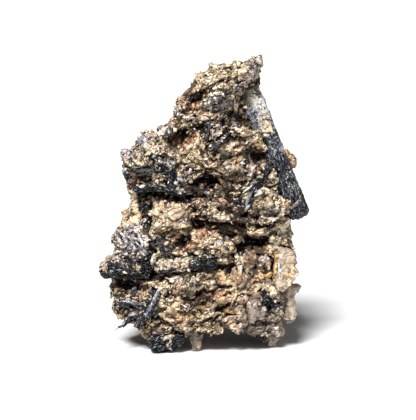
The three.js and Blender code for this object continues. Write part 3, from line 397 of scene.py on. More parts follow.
# Cracks and hollows of the front: corners of a line in X and Z, half its width, how deep it goes.
CREVICES = [
    ([(0.5, 79.3), (3, 80.5), (5, 81.8)], 0.5, 1.2),
    ([(11, 75.6), (13, 77.5), (15, 79.5), (16.5, 81.5)], 0.8, 2.6),
    ([(16.4, 80), (16.6, 78)], 0.9, 1.6),
    ([(-3.6, 76.2), (-1.5, 76.6), (-0.3, 77.6)], 1.1, 3),
    ([(2.5, 72), (5, 72.8), (6, 73.2)], 0.8, 1.2),
    ([(8, 71.5), (9.5, 72.8), (11, 72.6)], 0.8, 1.4),
    ([(9.6, 69.9), (12.5, 68.8)], 0.6, 1.4),
    ([(6, 66.6), (7, 68)], 0.7, 1.6),
    ([(-3.6, 67), (-1.6, 67.4)], 1, 2.4),
    ([(-3.4, 69.9), (-0.4, 70)], 0.4, 1.2),
    ([(-10.6, 64.2), (-8, 65.8), (-6, 65.4)], 1, 2.6),
    ([(-10.4, 62), (-8.2, 61.6)], 0.6, 2),
    ([(-14.2, 63), (-13.2, 62.6)], 0.7, 1.2),
    ([(-22.6, 53.6), (-20.4, 53), (-18, 52.6), (-16.6, 52.2)], 1.1, 3),
    ([(-19.6, 50.8), (-17, 50.2)], 0.7, 2),
    ([(-15, 58.6), (-13, 57.8), (-11.4, 56.2)], 0.35, 0.8),
    ([(-12, 60), (-10.4, 58.6), (-8.8, 57.4)], 0.6, 1.2),
    ([(-19.6, 47.6), (-16, 47.9), (-12, 47.2), (-8, 46.5), (-4, 47), (-2, 48.4), (2, 50.4)], 0.9, 3.5),
    ([(-3.4, 51.4), (-1, 52.6), (1.5, 52.9), (3, 52.4)], 1.2, 3.5),
    ([(-5, 55.6), (-2, 55.4), (2, 55.7), (5, 54.8)], 0.4, 1.2),
    ([(5, 53.4), (7, 52.2), (9, 51.4), (12, 51.6)], 0.6, 1.8),
    ([(1.6, 60.8), (3, 60.4)], 0.8, 1.6),
    ([(2.4, 57.9), (4.6, 57.9)], 0.35, 0.9),
    ([(8.5, 59.4), (10.2, 60)], 0.3, 0.8),
    ([(14.8, 59.8), (16.4, 58.8), (18.6, 58.4)], 1.4, 3),
    ([(14, 61.4), (17, 61.2)], 0.35, 1),
    ([(15, 53), (17, 51.8)], 0.5, 1),
    ([(5.4, 46.6), (7.4, 46), (8.6, 47.4)], 0.5, 1.2),
    ([(16.4, 48), (20, 47.6)], 0.5, 1),
    ([(-2.8, 41.4), (0, 41.4), (2, 42)], 0.5, 2),
    ([(7.6, 42.8), (9, 42.4), (12, 41.8), (15.6, 41)], 0.6, 2.5),
    ([(-2.2, 38.6), (-1, 39), (1.5, 38.8), (4, 38.4), (10.5, 38.2)], 1.2, 4.5),
    ([(10.4, 35.6), (13, 35.2), (15, 35.8)], 0.35, 1.2),
    ([(15.6, 38.6), (17.5, 38.4), (19.6, 38.6)], 0.9, 3),
    ([(18.8, 35.4), (20, 36.2)], 0.5, 1.5),
    ([(20.4, 35.6), (22.5, 36), (24.6, 35.8)], 0.8, 1.6),
    ([(10.6, 31.4), (12, 33), (14.5, 33.4), (17.4, 33.2)], 1.4, 5),
    ([(3.6, 26), (5, 26.3), (8.4, 26.6)], 0.8, 3),
    ([(7.6, 30), (9, 29.4), (9.4, 26.4)], 0.5, 1.6),
    ([(-19.6, 46.2), (-19.2, 44)], 0.6, 2),
    ([(-18.2, 43.2), (-17.4, 41)], 0.6, 1.4),
    ([(-15, 34), (-14, 35), (-12.6, 36.6), (-10.4, 37.4), (-8, 38.2), (-6, 38.4)], 0.5, 2),
    ([(-8.6, 33), (-6.4, 34.6), (-5, 34.4)], 0.8, 2.4),
    ([(-16.4, 32.6), (-15, 31.4)], 0.5, 1.2),
    ([(0, 32), (0.6, 31)], 0.5, 1.4),
    ([(-26, 21.6), (-22, 22.2), (-18, 23.2), (-15, 23.6)], 1, 4),
    ([(-25, 20.4), (-21, 20.2)], 1.3, 4),
    ([(-13.6, 22.8), (-11, 23.6), (-8, 24.4), (-5, 25), (-2, 25.6), (2.5, 25.4)], 0.4, 1.6),
    ([(-14.4, 26.8), (-14.3, 25.4), (-14.2, 23.6)], 0.5, 1.6),
    ([(-4, 21.4), (-1, 21.6)], 0.4, 1.4),
    ([(-11.6, 17.4), (-10, 17.6), (-8.8, 17.2)], 0.5, 2.4),
    ([(-6.6, 17), (-4.5, 16.2), (-2, 16.6), (0, 18), (3.4, 19.6), (5, 20.4)], 0.6, 2.6),
    ([(-6.8, 15.2), (-5, 14.4), (-3.4, 15.2), (2, 15.2)], 0.4, 1.6),
    ([(-1, 9.6), (1, 10.4), (3, 11), (4.4, 11.8)], 0.5, 2),
    ([(3.8, 13.6), (5.4, 13.6)], 0.9, 2.2),
    ([(6.4, 15), (7.6, 15.4), (9.6, 17.2), (11, 18.4)], 0.6, 2.4),
    ([(6, 20.7), (7.8, 20.8)], 0.5, 1.4),
    ([(-13.6, 10.4), (-12, 9.4), (-10.4, 8.8)], 0.6, 1.8),
    ([(-18.6, 10.4), (-16.6, 11), (-14.6, 10.6)], 0.9, 2.2),
    ([(-24, 12.4), (-22, 13.2)], 0.6, 1.6),
    ([(13, 24.4), (14.4, 23.6), (16.4, 23.2)], 0.5, 1.9),
    ([(17.4, 25.4), (18.6, 24.4)], 0.5, 1.7),
    ([(18.6, 29.6), (19.8, 27.8), (20, 26)], 0.5, 1.9),
    ([(11.4, 24.8), (12.2, 26.6)], 0.4, 1.5),
    ([(15.4, 29.8), (17.4, 29)], 0.45, 1.6),
    ([(15.4, 21.4), (18, 21.8)], 0.4, 1.2),
    ([(18.6, 13.6), (20, 12.2)], 1.2, 2.6),
    ([(16.4, 19), (17.6, 17.6)], 0.6, 1.6),
    ([(23, 17.8), (24.4, 19.2), (25.8, 20.6)], 0.7, 1.8),
    ([(13.4, 8), (16, 8.6), (19, 8.1), (22, 7.7)], 0.5, 1.8),
    ([(-10, 5.6), (-8, 5.8)], 0.6, 1),
]


# ---- Noise ----


def lattice(cells, seed):
    """A random value from 0 to 1 for each cell of whole numbers."""
    with np.errstate(over="ignore"):
        i, j, k = (cells[:, axis].astype(np.int64).astype(np.uint32) for axis in range(3))
        t = i * np.uint32(374761393) ^ j * np.uint32(668265263) ^ k * np.uint32(1274126177)
        t ^= np.uint32(362437 * (seed + 1))
        t = (t ^ (t >> np.uint32(13))) * np.uint32(1103515245)
        t = (t ^ (t >> np.uint32(15))) * np.uint32(2246822519)
        return (t ^ (t >> np.uint32(16))) / 4294967296.0


def ease(t):
    """0 below 0, 1 above 1 and smooth between."""
    t = np.clip(t, 0, 1)
    return t * t * (3 - 2 * t)


def noise(points, size, seed=0):
    """Smooth noise from -1 to 1, in cells of that size: a number, or one for each axis."""
    q = points / np.asarray(size)
    low = np.floor(q)
    f = ease(q - low)
    total = np.zeros(len(points))
    for corner in np.ndindex(2, 2, 2):
        weight = np.prod(np.where(corner, f, 1 - f), axis=1)
        total += weight * lattice(low + corner, seed)
    return 2 * total - 1


def chunks(points, size, seed=0):
    """Where points lie among packed chunks of that size: how near the edge to the next chunk, 0 at the edge,
    the chunk's own level, from -1 to 1, and the height of its tilted face there."""
    q = points / np.asarray(size)
    low = np.floor(q)
    first = np.full(len(q), 9.0)
    second = first.copy()
    home = low.copy()
    for offset in np.ndindex(3, 3, 3):
        cell = low + offset - 1
        heart = cell + np.stack([lattice(cell, seed + a) for a in (1, 2, 3)], axis=1)
        far = np.linalg.norm(q - heart, axis=1)
        closer = far < first
        second = np.where(closer, first, np.minimum(second, far))
        home = np.where(closer[:, None], cell, home)
        first = np.where(closer, far, first)
    heart = home + np.stack([lattice(home, seed + a) for a in (1, 2, 3)], axis=1)
    slope = 2 * np.stack([lattice(home, seed + a) for a in (5, 6, 7)], axis=1) - 1
    return second - first, 2 * lattice(home, seed + 4) - 1, ((q - heart) * slope).sum(axis=1)


def spots(table, points):
    """How much of a look the front's spots give at points: all of it at a spot's middle, none beyond about
    one and a half times its half size."""
    total = np.zeros(len(points))
    for x, z, half_width, half_height, rise, amount in table:
        dx = (points[:, 0] - x) / half_width
        dz = (points[:, 2] - z - rise * (points[:, 0] - x)) / half_height
        total += amount * ease(1.6 - 1.1 * np.hypot(dx, dz))
    return np.clip(total, 0, 1) * ease((FRONT_END + 3 - points[:, 1]) / 6)


def crevices(points):
    """How deep the front's cracks and hollows go at points."""
    wander = np.stack([noise(points, 2.2, seed) for seed in (91, 92)], axis=1) * 0.45
    flat = points[:, [0, 2]] + wander
    depth = np.zeros(len(points))
    for corners, half_width, deep in CREVICES:
        corners = np.array(corners, float)
        nearest = np.full(len(points), 99.0)
        for start, end in zip(corners[:-1], corners[1:]):
            along = end - start
            share = np.clip(((flat - start) @ along) / (along @ along), 0, 1)
            nearest = np.minimum(nearest, np.linalg.norm(flat - start - share[:, None] * along, axis=1))
        depth = np.maximum(depth, deep * ease(1.5 - nearest / half_width))
    return depth * ease((FRONT_END - points[:, 1]) / 4)


# ---- Meshes ----


def read(items, name, width=1, kind=np.float32):
    """A number, or a row of them, from each of a mesh's points, edges, corners or faces."""
    values = np.empty(len(items) * width, kind)
    items.foreach_get(name, values)
    return values.reshape(-1, width) if width > 1 else values


def mesh_arrays(mesh):
    """A mesh's points and their normals, the points in millimetres."""
    return read(mesh.vertices, "co", 3) / MM, read(mesh.vertices, "normal", 3)


def set_points(mesh, points):
    """Moves a mesh's points to places in millimetres."""
    mesh.vertices.foreach_set("co", (points * MM).astype(np.float32).ravel())
    mesh.update()


def bare_mesh(name, points, faces):
    """A mesh from points in millimetres and rows of corners."""
    mesh = bpy.data.meshes.new(name)
    mesh.vertices.add(len(points))
    mesh.loops.add(faces.size)
    mesh.polygons.add(len(faces))
    mesh.vertices.foreach_set("co", (points * MM).astype(np.float32).ravel())
    mesh.loops.foreach_set("vertex_index", faces.ravel().astype(np.int32))
    mesh.polygons.foreach_set("loop_start", np.arange(len(faces), dtype=np.int32) * faces.shape[1])
    mesh.update(calc_edges=True)
    return mesh


def placed(name, mesh):
    """A mesh as a piece of the scene, in its slot."""
    piece = bpy.data.objects.new(name, mesh)
    bpy.context.scene.collection.objects.link(piece)
    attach(piece, "root")
    return piece


def paint(mesh, name, values):
    """Stores a colour, or a number as grey, at each point for the material to read."""
    values = np.asarray(values, np.float32)
    if values.ndim == 1:
        values = np.repeat(values[:, None], 3, axis=1)
    rgba = np.concatenate([values, np.ones((len(values), 1), np.float32)], axis=1)
    mesh.attributes.new(name, "FLOAT_COLOR", "POINT").data.foreach_set("color", rgba.ravel())


def spread_out(mesh, values, rounds):
    """Values at a mesh's points, each round replaced by the mean of their neighbours'."""
    ends = read(mesh.edges, "vertices", 2, np.int32)
    sources = np.concatenate([ends[:, 0], ends[:, 1]])
    targets = np.concatenate([ends[:, 1], ends[:, 0]])
    count = len(mesh.vertices)
    links = np.maximum(np.bincount(targets, minlength=count), 1)
    for _ in range(rounds):
        sums = [np.bincount(targets, column[sources], count) for column in values.T]
        values = np.stack(sums, axis=1) / links[:, None]
    return values


def hollowness(mesh, rounds):
    """How far each point lies below the surface smoothed over that many rounds, in millimetres."""
    points, normals = mesh_arrays(mesh)
    return ((spread_out(mesh, points, rounds) - points) * normals).sum(axis=1)


def fine_copy(node, name, edge):
    """A copy of a CAD solid with even small faces."""
    piece = bpy.data.objects.new(name, nodes[node].data.copy())
    bpy.context.scene.collection.objects.link(piece)
    remesh = piece.modifiers.new("even", "REMESH")
    remesh.mode = "VOXEL"
    remesh.voxel_size = edge * MM
    graph = bpy.context.evaluated_depsgraph_get()
    even = bpy.data.meshes.new_from_object(piece.evaluated_get(graph))
    piece.modifiers.clear()
    piece.data = even
    even.materials.clear()
    return piece


def faces_as(name, piece, wanted):
    """A new piece from the wanted faces of another, all of them quads, with its paint and its material."""
    old = piece.data
    quads = read(old.loops, "vertex_index", kind=np.int32).reshape(-1, 4)[wanted]
    kept, corners = np.unique(quads, return_inverse=True)
    new = bare_mesh(name, mesh_arrays(old)[0][kept], corners.reshape(-1, 4))
    for layer in ("tone", "pepper"):
        paint(new, layer, read(old.attributes[layer].data, "color", 4)[kept, :3])
    new.materials.append(old.materials[0])
    return placed(name, new)


def near_box(points, room):
    """Points kept within that room of the CAD's box."""
    low, high = (np.array(corner) / MM for corner in cad_box)
    return np.clip(points, low - room, high + room)


def lowered(mesh, points):
    """Moves a mesh's points, those that would sink through the floor staying on it."""
    points[:, 2] = np.maximum(points[:, 2], 0)
    set_points(mesh, points)


# ---- Materials ----


class Shader:
    """A material's node tree, built by short calls."""

    def __init__(self, name):
        self.material = bpy.data.materials.new(name)
        self.material.use_nodes = True
        self.tree = self.material.node_tree
        self.surface = self.tree.nodes["Principled BSDF"]

    def node(self, kind, inputs=(), **settings):
        """A new node with its settings made and its sockets fed."""
        made = self.tree.nodes.new("ShaderNode" + kind)
        for key, value in settings.items():
            setattr(made, key, value)
        for key, value in dict(inputs).items():
            self.feed(made.inputs[key], value)
        return made

    def feed(self, socket, value):
        """Links a socket to another, or gives it a colour or a number."""
        if isinstance(value, bpy.types.NodeSocket):
            self.tree.links.new(value, socket)
        elif isinstance(value, tuple) and socket.type == "RGBA":
            socket.default_value = (*value, 1)
        else:
            socket.default_value = value

    def attribute(self, name):
        """A colour painted at the mesh's points."""
        return self.node("Attribute", attribute_name=name).outputs["Color"]

    def place(self):
        return self.node("TexCoord").outputs["Object"]

    def math(self, operation, a, b):
        return self.node("Math", {0: a, 1: b}, operation=operation).outputs[0]

    def plus(self, a, b):
        return self.math("ADD", a, b)

    def minus(self, a, b):
        return self.math("SUBTRACT", a, b)

    def times(self, a, b):
        return self.math("MULTIPLY", a, b)

    def vector(self, operation, a, b):
        return self.node("VectorMath", {0: a, 1: b}, operation=operation)

    def centred(self, colour):
        """A colour's channels as a vector, each less a half."""
        return self.vector("SUBTRACT", colour, (0.5, 0.5, 0.5)).outputs[0]

    def wandering(self, size, reach):
        """Places shifted to and fro by up to reach millimetres."""
        drift = self.node("TexNoise", {"Vector": self.place(), "Scale": 1 / (size * MM), "Detail": 2.0})
        shift = {0: self.centred(drift.outputs["Color"]), "Scale": 2 * reach * MM}
        shift = self.node("VectorMath", shift, operation="SCALE").outputs[0]
        return self.vector("ADD", self.place(), shift).outputs[0]

    def along_grain(self, place):
        """Places squeezed along the stone's grain, so that what is laid out in them runs lengthwise in it."""
        turn = (0, -math.radians(GRAIN_ANGLE), 0)
        squeezed = {"Vector": place, "Rotation": turn, "Scale": (GRAIN_STRETCH, 1.2, 1)}
        return self.node("Mapping", squeezed, vector_type="TEXTURE").outputs[0]

    def texture(self, size, detail=2.0, rough=0.55, place=None):
        """A noise from about 0 to 1 whose features are about size millimetres."""
        inputs = {"Vector": place or self.place(), "Scale": 1 / (size * MM)}
        inputs.update({"Detail": detail, "Roughness": rough})
        return self.node("TexNoise", inputs).outputs["Fac"]

    def facets(self, size, place):
        """Packed flat facets, each tilted its own way: their relief in metres, how near their edges, 0 at an
        edge, and each one's random number from 0 to 1."""
        inputs = {"Vector": place, "Scale": 1 / (size * MM)}
        edge = self.node("TexVoronoi", inputs, feature="DISTANCE_TO_EDGE").outputs["Distance"]
        cell = self.node("TexVoronoi", inputs, feature="F1")
        off = self.vector("SUBTRACT", place, cell.outputs["Position"]).outputs[0]
        relief = self.vector("DOT_PRODUCT", off, self.centred(cell.outputs["Color"])).outputs["Value"]
        return relief, edge, self.node("SeparateColor", {"Color": cell.outputs["Color"]}).outputs["Red"]

    def ramp(self, value, low, high):
        """value taken from low..high to 0..1."""
        inputs = {"Value": value, "From Min": low, "From Max": high}
        return self.node("MapRange", inputs, interpolation_type="SMOOTHSTEP").outputs["Result"]

    def blend(self, share, a, b, kind="MIX"):
        """Colour a turned by the share into b, or into a times b if the kind is MULTIPLY."""
        mix = self.node("Mix", data_type="RGBA", blend_type=kind)
        self.feed(mix.inputs["Factor"], share)
        self.feed(mix.inputs[6], a)
        self.feed(mix.inputs[7], b)
        return mix.outputs[2]

    def bump(self, height, depth=1 / MM, strength=1.0):
        """Relief of that depth in millimetres, or from a height in metres if no depth is given."""
        made = self.node("Bump", {"Height": height, "Distance": depth * MM, "Strength": strength})
        self.feed(self.surface.inputs["Normal"], made.outputs["Normal"])

    def set(self, **values):
        """Feeds the surface's own sockets, and returns the finished material."""
        for key, value in values.items():
            self.feed(self.surface.inputs[key.replace("_", " ")], value)
        return self.material


def stone_material(name):
    """Broken stained stone: small flat facets of the painted colour, some paler, some brown, and black ones
    that lie thicker where the painted pepper says, with dark cracks between them. The pepper's red is how
    thick they lie, and its green how broadly the stone breaks."""
    s = Shader(name)
    painted = s.attribute("tone")
    painted_more = s.node("SeparateColor", {"Color": s.attribute("pepper")})
    pepper, broad = painted_more.outputs["Red"], painted_more.outputs["Green"]
    clean = s.minus(1.0, s.times(broad, 0.75))
    place = s.along_grain(s.wandering(2.4, 0.9))
    wide, wide_edge, wide_number = s.facets(WIDE_FACETS, place)
    small, small_edge, small_number = s.facets(SMALL_FACETS, place)
    shaded = s.blend(s.ramp(wide_number, 0.0, 0.5), s.blend(0.22, painted, BROWN, "MULTIPLY"), painted)
    lit = s.blend(s.times(s.ramp(small_number, 0.78, 0.8), 0.2), shaded, WHITE)
    lit = s.blend(s.times(s.ramp(small_number, 0.3, 0.26), s.times(clean, 0.35)), lit, BROWN)
    dark_share = s.plus(s.times(pepper, 0.4), 0.02)
    dark_facets = s.times(s.ramp(s.minus(dark_share, small_number), 0.0, 0.02), clean)
    lit = s.blend(dark_facets, lit, DARK_FACET)
    specks = s.plus(s.texture(0.8, detail=4, rough=0.75), s.times(pepper, 0.14))
    colour = s.blend(s.ramp(specks, 0.64, 0.67), lit, BLACK)
    gape = s.times(s.minus(s.texture(1.6, detail=3, rough=0.6), 0.5), 0.7)
    small_cracks = s.plus(s.ramp(s.plus(small_edge, gape), 0.0, 0.14), broad)
    wide_cracks = s.ramp(s.plus(wide_edge, s.times(gape, 0.4)), -0.02, 0.08)
    whole = s.times(wide_cracks, s.math("MINIMUM", small_cracks, 1.0))
    colour = s.blend(whole, s.blend(0.96, colour, CRACK), colour)
    fine = s.texture(0.4, detail=4, rough=0.8)
    relief = s.plus(s.times(wide, 0.8), s.times(small, s.times(clean, 0.8)))
    s.bump(s.plus(relief, s.times(s.plus(s.times(whole, 0.5), fine), 0.25 * MM)))
    return s.set(Base_Color=colour, Roughness=s.ramp(wide_number, -1.4, 0.8), Specular_IOR_Level=0.3)


def grain_material(name, roughness, specular):
    """Loose grains: each its own painted colour, slightly mottled."""
    s = Shader(name)
    painted = s.attribute("tone")
    mottle = s.ramp(s.texture(0.3), 0.3, 0.7)
    colour = s.blend(mottle, s.blend(0.5, painted, BROWN, "MULTIPLY"), painted)
    s.bump(s.texture(0.2), 0.08, 0.6)
    return s.set(Base_Color=colour, Roughness=roughness, Specular_IOR_Level=specular)


def schorl_material(name, colours, mottle, gloss):
    """Black glassy schorl, streaked lengthwise from a deep colour to a lighter one, with thin glints, coated
    where the painted dust gathers with crust of the painted tone, more or less mottled. The lighter streaks
    are a painted sheen and the glints are painted highlights. The painted lengthwise coordinates are
    hundredths of a metre from 0.5."""
    s = Shader(name)
    stretched = s.vector("MULTIPLY", s.centred(s.attribute("own")), (0.026, 0.1, 0.1)).outputs[0]
    streak = s.texture(0.4, detail=5, rough=0.75, place=stretched)
    dust = s.attribute("dust")
    relief, _, number = s.facets(0.7, s.wandering(0.8, 0.3))
    specks = s.plus(s.texture(0.9, detail=5, rough=0.85), s.times(s.texture(0.36), 0.5))
    cover = s.ramp(s.plus(s.minus(specks, 0.75), s.times(dust, 0.4)), 0.26, 0.29)
    # Painted sheen along the striations, and painted glints on their brightest lines.
    black = s.blend(s.ramp(streak, 0.5, 0.6), *colours)
    black = s.blend(s.ramp(streak, 0.61, 0.64), black, GLINT)
    coat = s.attribute("tone")
    fine = s.ramp(s.texture(0.6, detail=4, rough=0.75), 0.42, 0.58)
    powder = s.blend(fine, s.blend(mottle, coat, BROWN, "MULTIPLY"), coat)
    powder = s.blend(s.ramp(number, 0.3, 0.26), powder, s.blend(mottle, powder, DIRT_AND_SHADOW, "MULTIPLY"))
    lengthwise = s.times(streak, 0.3 * MM)
    s.bump(s.plus(lengthwise, s.times(relief, s.plus(0.35, cover))))
    rough = s.plus(s.times(cover, 0.6), s.ramp(streak, 0.1, 2.0))
    return s.set(Base_Color=s.blend(cover, black, powder), Roughness=rough, Specular_IOR_Level=gloss)


def quartz_material(name, colours):
    """Smoky cloudy quartz that light passes into, from a deep colour to a pale one."""
    s = Shader(name)
    cloud = s.ramp(s.texture(2.2, detail=4, rough=0.65), 0.35, 0.7)
    colour = s.blend(cloud, *colours)
    colour = s.blend(s.ramp(s.texture(1.2, detail=3), 0.58, 0.7), colour, TAN)
    s.bump(s.texture(0.8, detail=3), 0.15, 0.7)
    rough = s.ramp(cloud, -0.5, 3.4)
    return s.set(Base_Color=colour, Roughness=rough, IOR=1.54, Transmission_Weight=0.4)


def feldspar_material(name, colours):
    """A dull cleaved face, from a deep colour to a pale one, with rusty stains."""
    s = Shader(name)
    shade = s.ramp(s.texture(2.6, detail=5, rough=0.65), 0.3, 0.7)
    colour = s.blend(shade, *colours)
    stain = s.ramp(s.texture(2.4, detail=4, rough=0.7), 0.52, 0.66)
    relief, _, number = s.facets(0.8, s.wandering(1.2, 0.5))
    colour = s.blend(s.times(stain, 0.7), colour, HONEY)
    colour = s.blend(s.ramp(number, 0.3, 0.22), colour, s.blend(0.6, colour, BROWN, "MULTIPLY"))
    colour = s.blend(s.ramp(s.texture(0.6, detail=4, rough=0.8), 0.6, 0.64), colour, SPECK)
    fine = s.times(s.texture(0.5, detail=4, rough=0.8), 0.3 * MM)
    s.bump(s.plus(s.times(relief, 0.8), fine))
    return s.set(Base_Color=colour, Roughness=0.75, Specular_IOR_Level=0.35)


def floor_material(name, colours):
    """Pale card, just off even."""
    s = Shader(name)
    tint = s.ramp(s.texture(40), 0.3, 0.7)
    return s.set(Base_Color=s.blend(tint, *colours), Roughness=0.9)


# ---- The stone ----

# The stone and its surface: at each point its colour, how thick black specks lie, how broadly it breaks, how
# far below its surroundings it lies, and how far it is from the nearest crystal.
Surface = namedtuple("Surface", "piece tone dark broad hollow clear")


def tones(points, level, hollow):
    """The stone's colour at points, how thick its black specks lie and how broadly it breaks. level is the
    chunks' own number there, and hollow how far below its surroundings the surface lies. Hollows get painted
    shade: they are less pale, darker and more thickly specked, save in the unshaded spots."""
    mid = noise(points, 3.2, 4)
    pale = 0.45 + 0.28 * noise(points, 9, 3) + 0.3 * mid + 0.35 * level
    pale += 0.5 * spots(PALE_SPOTS, points)
    # Painted shade: hollows get less of the pale cream.
    pale = np.clip(pale - 0.4 * hollow, 0, 1)
    colour = np.outer(1 - pale, TAN) + np.outer(pale, CREAM)
    rust = ease((0.6 * noise(points, 6, 5) + 0.25 * mid + 1.1 * spots(RUST_SPOTS, points) - 0.3) / 0.6)
    lilac = 0.6 * ease((0.7 * level + noise(points, 4, 8) - 0.7) / 0.4)
    pink = 0.7 * ease(2 * noise(points, 8, 9) - 0.3)
    brown = 0.8 * ease((noise(points, 3.6, 10) - 0.9 * level - 0.5) / 0.4)
    shares = (
        (0.6 * np.maximum(spots(PINK_SPOTS, points), pink), PINK_BROWN),
        (brown, BROWN),
        (0.7 * rust, RUST),
        (0.8 * spots(SMOKE_SPOTS, points), SMOKE),
        (0.8 * spots(OLIVE_SPOTS, points), OLIVE),
        (0.8 * np.maximum(spots(LILAC_SPOTS, points), lilac), LILAC),
    )
    for share, tint in shares:
        colour += share[:, None] * (np.array(tint) - colour)
    # Painted shade: hollows are darkened, except in the unshaded spots, and below they are given more black
    # specks.
    hollow_shade = ease((hollow - 0.1) / 0.66) * (1 - spots(UNSHADED_SPOTS, points))
    colour *= 1 - np.outer(hollow_shade, (0.93, 0.98, 1))
    # Darker and browner at the dull spots, partly painted shade.
    colour *= 1 - np.outer(spots(DULL_AND_SHADED_SPOTS, points), (0.4, 0.46, 0.52))
    broad = spots(BROAD_SPOTS, points)
    dark = 0.8 * spots(DARK_SPOTS, points) + 0.4 * ease(noise(points, 5, 6) * 2 - 0.2)
    dark += 0.25 * hollow_shade
    return colour, np.clip(dark - 0.3 * broad, 0, 1), broad


def clearance(points):
    """How far points lie from the nearest crystal, up to CLEAR_REACH."""
    far = np.full(len(points), CLEAR_REACH)
    for node, solid in nodes.items():
        if node == "matrix":
            continue
        corners = mesh_arrays(solid.data)[0]
        low, high = corners.min(axis=0) - CLEAR_REACH, corners.max(axis=0) + CLEAR_REACH
        near = ((points > low) & (points < high)).all(axis=1)
        faces = [list(face.vertices) for face in solid.data.polygons]
        tree = BVHTree.FromPolygons(corners.tolist(), faces)
        for index in np.flatnonzero(near):
            *_, found = tree.find_nearest(Vector(points[index]), CLEAR_REACH)
            far[index] = min(far[index], CLEAR_REACH if found is None else found)
    return far


# The stone's relief, the coarsest first: size of the chunks, how far they stand in or out, how much their
# faces tilt, how deep the crevice between them.
RELIEF = (
    ((7.2, 7.2, 4.2), 0.7, 2.6, 0.7),
    ((4.2, 3.2, 1.9), 0.4, 1.6, 0.45),
    ((2.2, 1.5, 1), 0.08, 0.35, 0.14),
)


def with_grain(points):
    """Points in axes that run along the stone's grain, into the stone and across the grain."""
    rise = math.radians(GRAIN_ANGLE)
    along = points[:, 0] * math.cos(rise) + points[:, 2] * math.sin(rise)
    up = points[:, 2] * math.cos(rise) - points[:, 0] * math.sin(rise)
    return np.stack([along, points[:, 1], up], axis=1)


def chunk_relief(mesh, order, free):
    """Gives a mesh one order of the stone's relief, as far as it is free to move, and returns the chunks' own
    numbers. The finer orders lie along the grain."""
    size, level, tilt, crevice = RELIEF[order]
    seed = 20 + order
    points, normals = mesh_arrays(mesh)
    outward = spread_out(mesh, normals, 6)
    outward /= np.linalg.norm(outward, axis=1, keepdims=True)
    sway = np.stack([noise(points, size[0] * 0.7, seed + a) for a in (30, 31, 32)], axis=1)
    lean = points + sway * size[2] * 0.3
    edge, value, face = chunks(with_grain(lean) if order else lean, size, seed * 10)
    out = level * (value - 0.3) + tilt * face - crevice * (1 - ease(edge / 0.16))
    if order:
        out *= 1 - 0.5 * ease((points[:, 2] - HEAD) / 6)
    out = np.minimum(out, MOST_OUT * free) * (1 - 0.5 * np.abs(outward[:, 0]))
    if order == 0:
        sunk = 1.2 * ease(outward[:, 2] * 1.4) * ease((points[:, 2] - SHOULDERS) / 10)
        out -= sunk * ease(14 - points[:, 0])
    set_points(mesh, points + outward * out[:, None])
    return value


def rough_stone():
    """The stone with its ledges, chunks, pits and cracks in relief."""
    piece = fine_copy("matrix", "stone_body", STONE_MESH)
    mesh = piece.data
    points, normals = mesh_arrays(mesh)
    clear = clearance(points)
    free = ease((clear - 0.2) / 2)
    points[:, 1] -= BULGE * spots(BULGE_SPOTS, points) * ease(0.3 - normals[:, 1]) * free
    set_points(mesh, points)
    levels = 0
    for order in range(len(RELIEF)):
        levels = 0.6 * levels + 0.6 * chunk_relief(mesh, order, free)
    points, normals = mesh_arrays(mesh)
    pit = ease((noise(points, PIT, 77) - 0.5) / 0.25)
    points = points - normals * (PIT_DEPTH * pit)[:, None]
    crack = crevices(points)
    points[:, 1] += crack * ease(0.2 - normals[:, 1])
    points = near_box(points, 0.5)
    lowered(mesh, points)
    # How hollow each point lies, which the colour takes as painted shade.
    hollow = 0.5 * hollowness(mesh, 60) + 0.9 * hollowness(mesh, 8) + 0.55 * crack
    colour, dark, broad = tones(points, levels, hollow)
    paint(mesh, "tone", colour)
    paint(mesh, "pepper", np.stack([dark, broad, 0 * broad], axis=1))
    mesh.materials.append(stone_material("stone_crust"))
    return Surface(piece, colour, dark, broad, hollow, clear)


# ---- Fragments, grains, flakes and needles ----

BOX = (
    [(x, y, z) for z in (-1, 1) for y in (-1, 1) for x in (-1, 1)],
    [(0, 2, 3, 1), (4, 5, 7, 6), (0, 1, 5, 4), (1, 3, 7, 5), (3, 2, 6, 7), (2, 0, 4, 6)],
)


def ringed(rings):
    """A six-sided solid from rings across its length: place along it, half width, half thickness."""
    turns = [math.radians(60 * step + 14) for step in range(6)]
    points = [(x, wide * math.cos(t), thick * math.sin(t)) for x, wide, thick in rings for t in turns]
    faces = []
    for ring in range(len(rings) - 1):
        for side in range(6):
            here, beyond = 6 * ring + side, 6 * ring + (side + 1) % 6
            faces.append((here, beyond, beyond + 6, here + 6))
    last = 6 * (len(rings) - 1)
    faces += [(0, 3, 2, 1), (0, 5, 4, 3)]
    faces += [(last, last + 1, last + 2, last + 3), (last, last + 3, last + 4, last + 5)]
    return points, faces


SHARD = ringed([(-1, 0.45, 0.4), (-0.6, 0.95, 0.9), (0.45, 1.1, 1), (1, 0.5, 0.5)])


def random_turns(count, random):
    """Rotation matrices spread evenly over all directions."""
    q = random.normal(size=(count, 4))
    w, x, y, z = (q / np.linalg.norm(q, axis=1, keepdims=True)).T
    rows = [
        [1 - 2 * (y * y + z * z), 2 * (x * y - w * z), 2 * (x * z + w * y)],
        [2 * (x * y + w * z), 1 - 2 * (x * x + z * z), 2 * (y * z - w * x)],
        [2 * (x * z - w * y), 2 * (y * z + w * x), 1 - 2 * (x * x + y * y)],
    ]
    return np.moveaxis(np.array(rows), 2, 0)


def turns_near(normals, spread, random):
    """Rotation matrices whose third axis leans from the normals by that spread, spun at random about it."""
    third = normals + spread * random.normal(size=normals.shape)
    third /= np.linalg.norm(third, axis=1, keepdims=True)
    first = np.cross(third, random.normal(size=normals.shape))
    first /= np.linalg.norm(first, axis=1, keepdims=True)
    return np.stack([first, np.cross(third, first), third], axis=2)


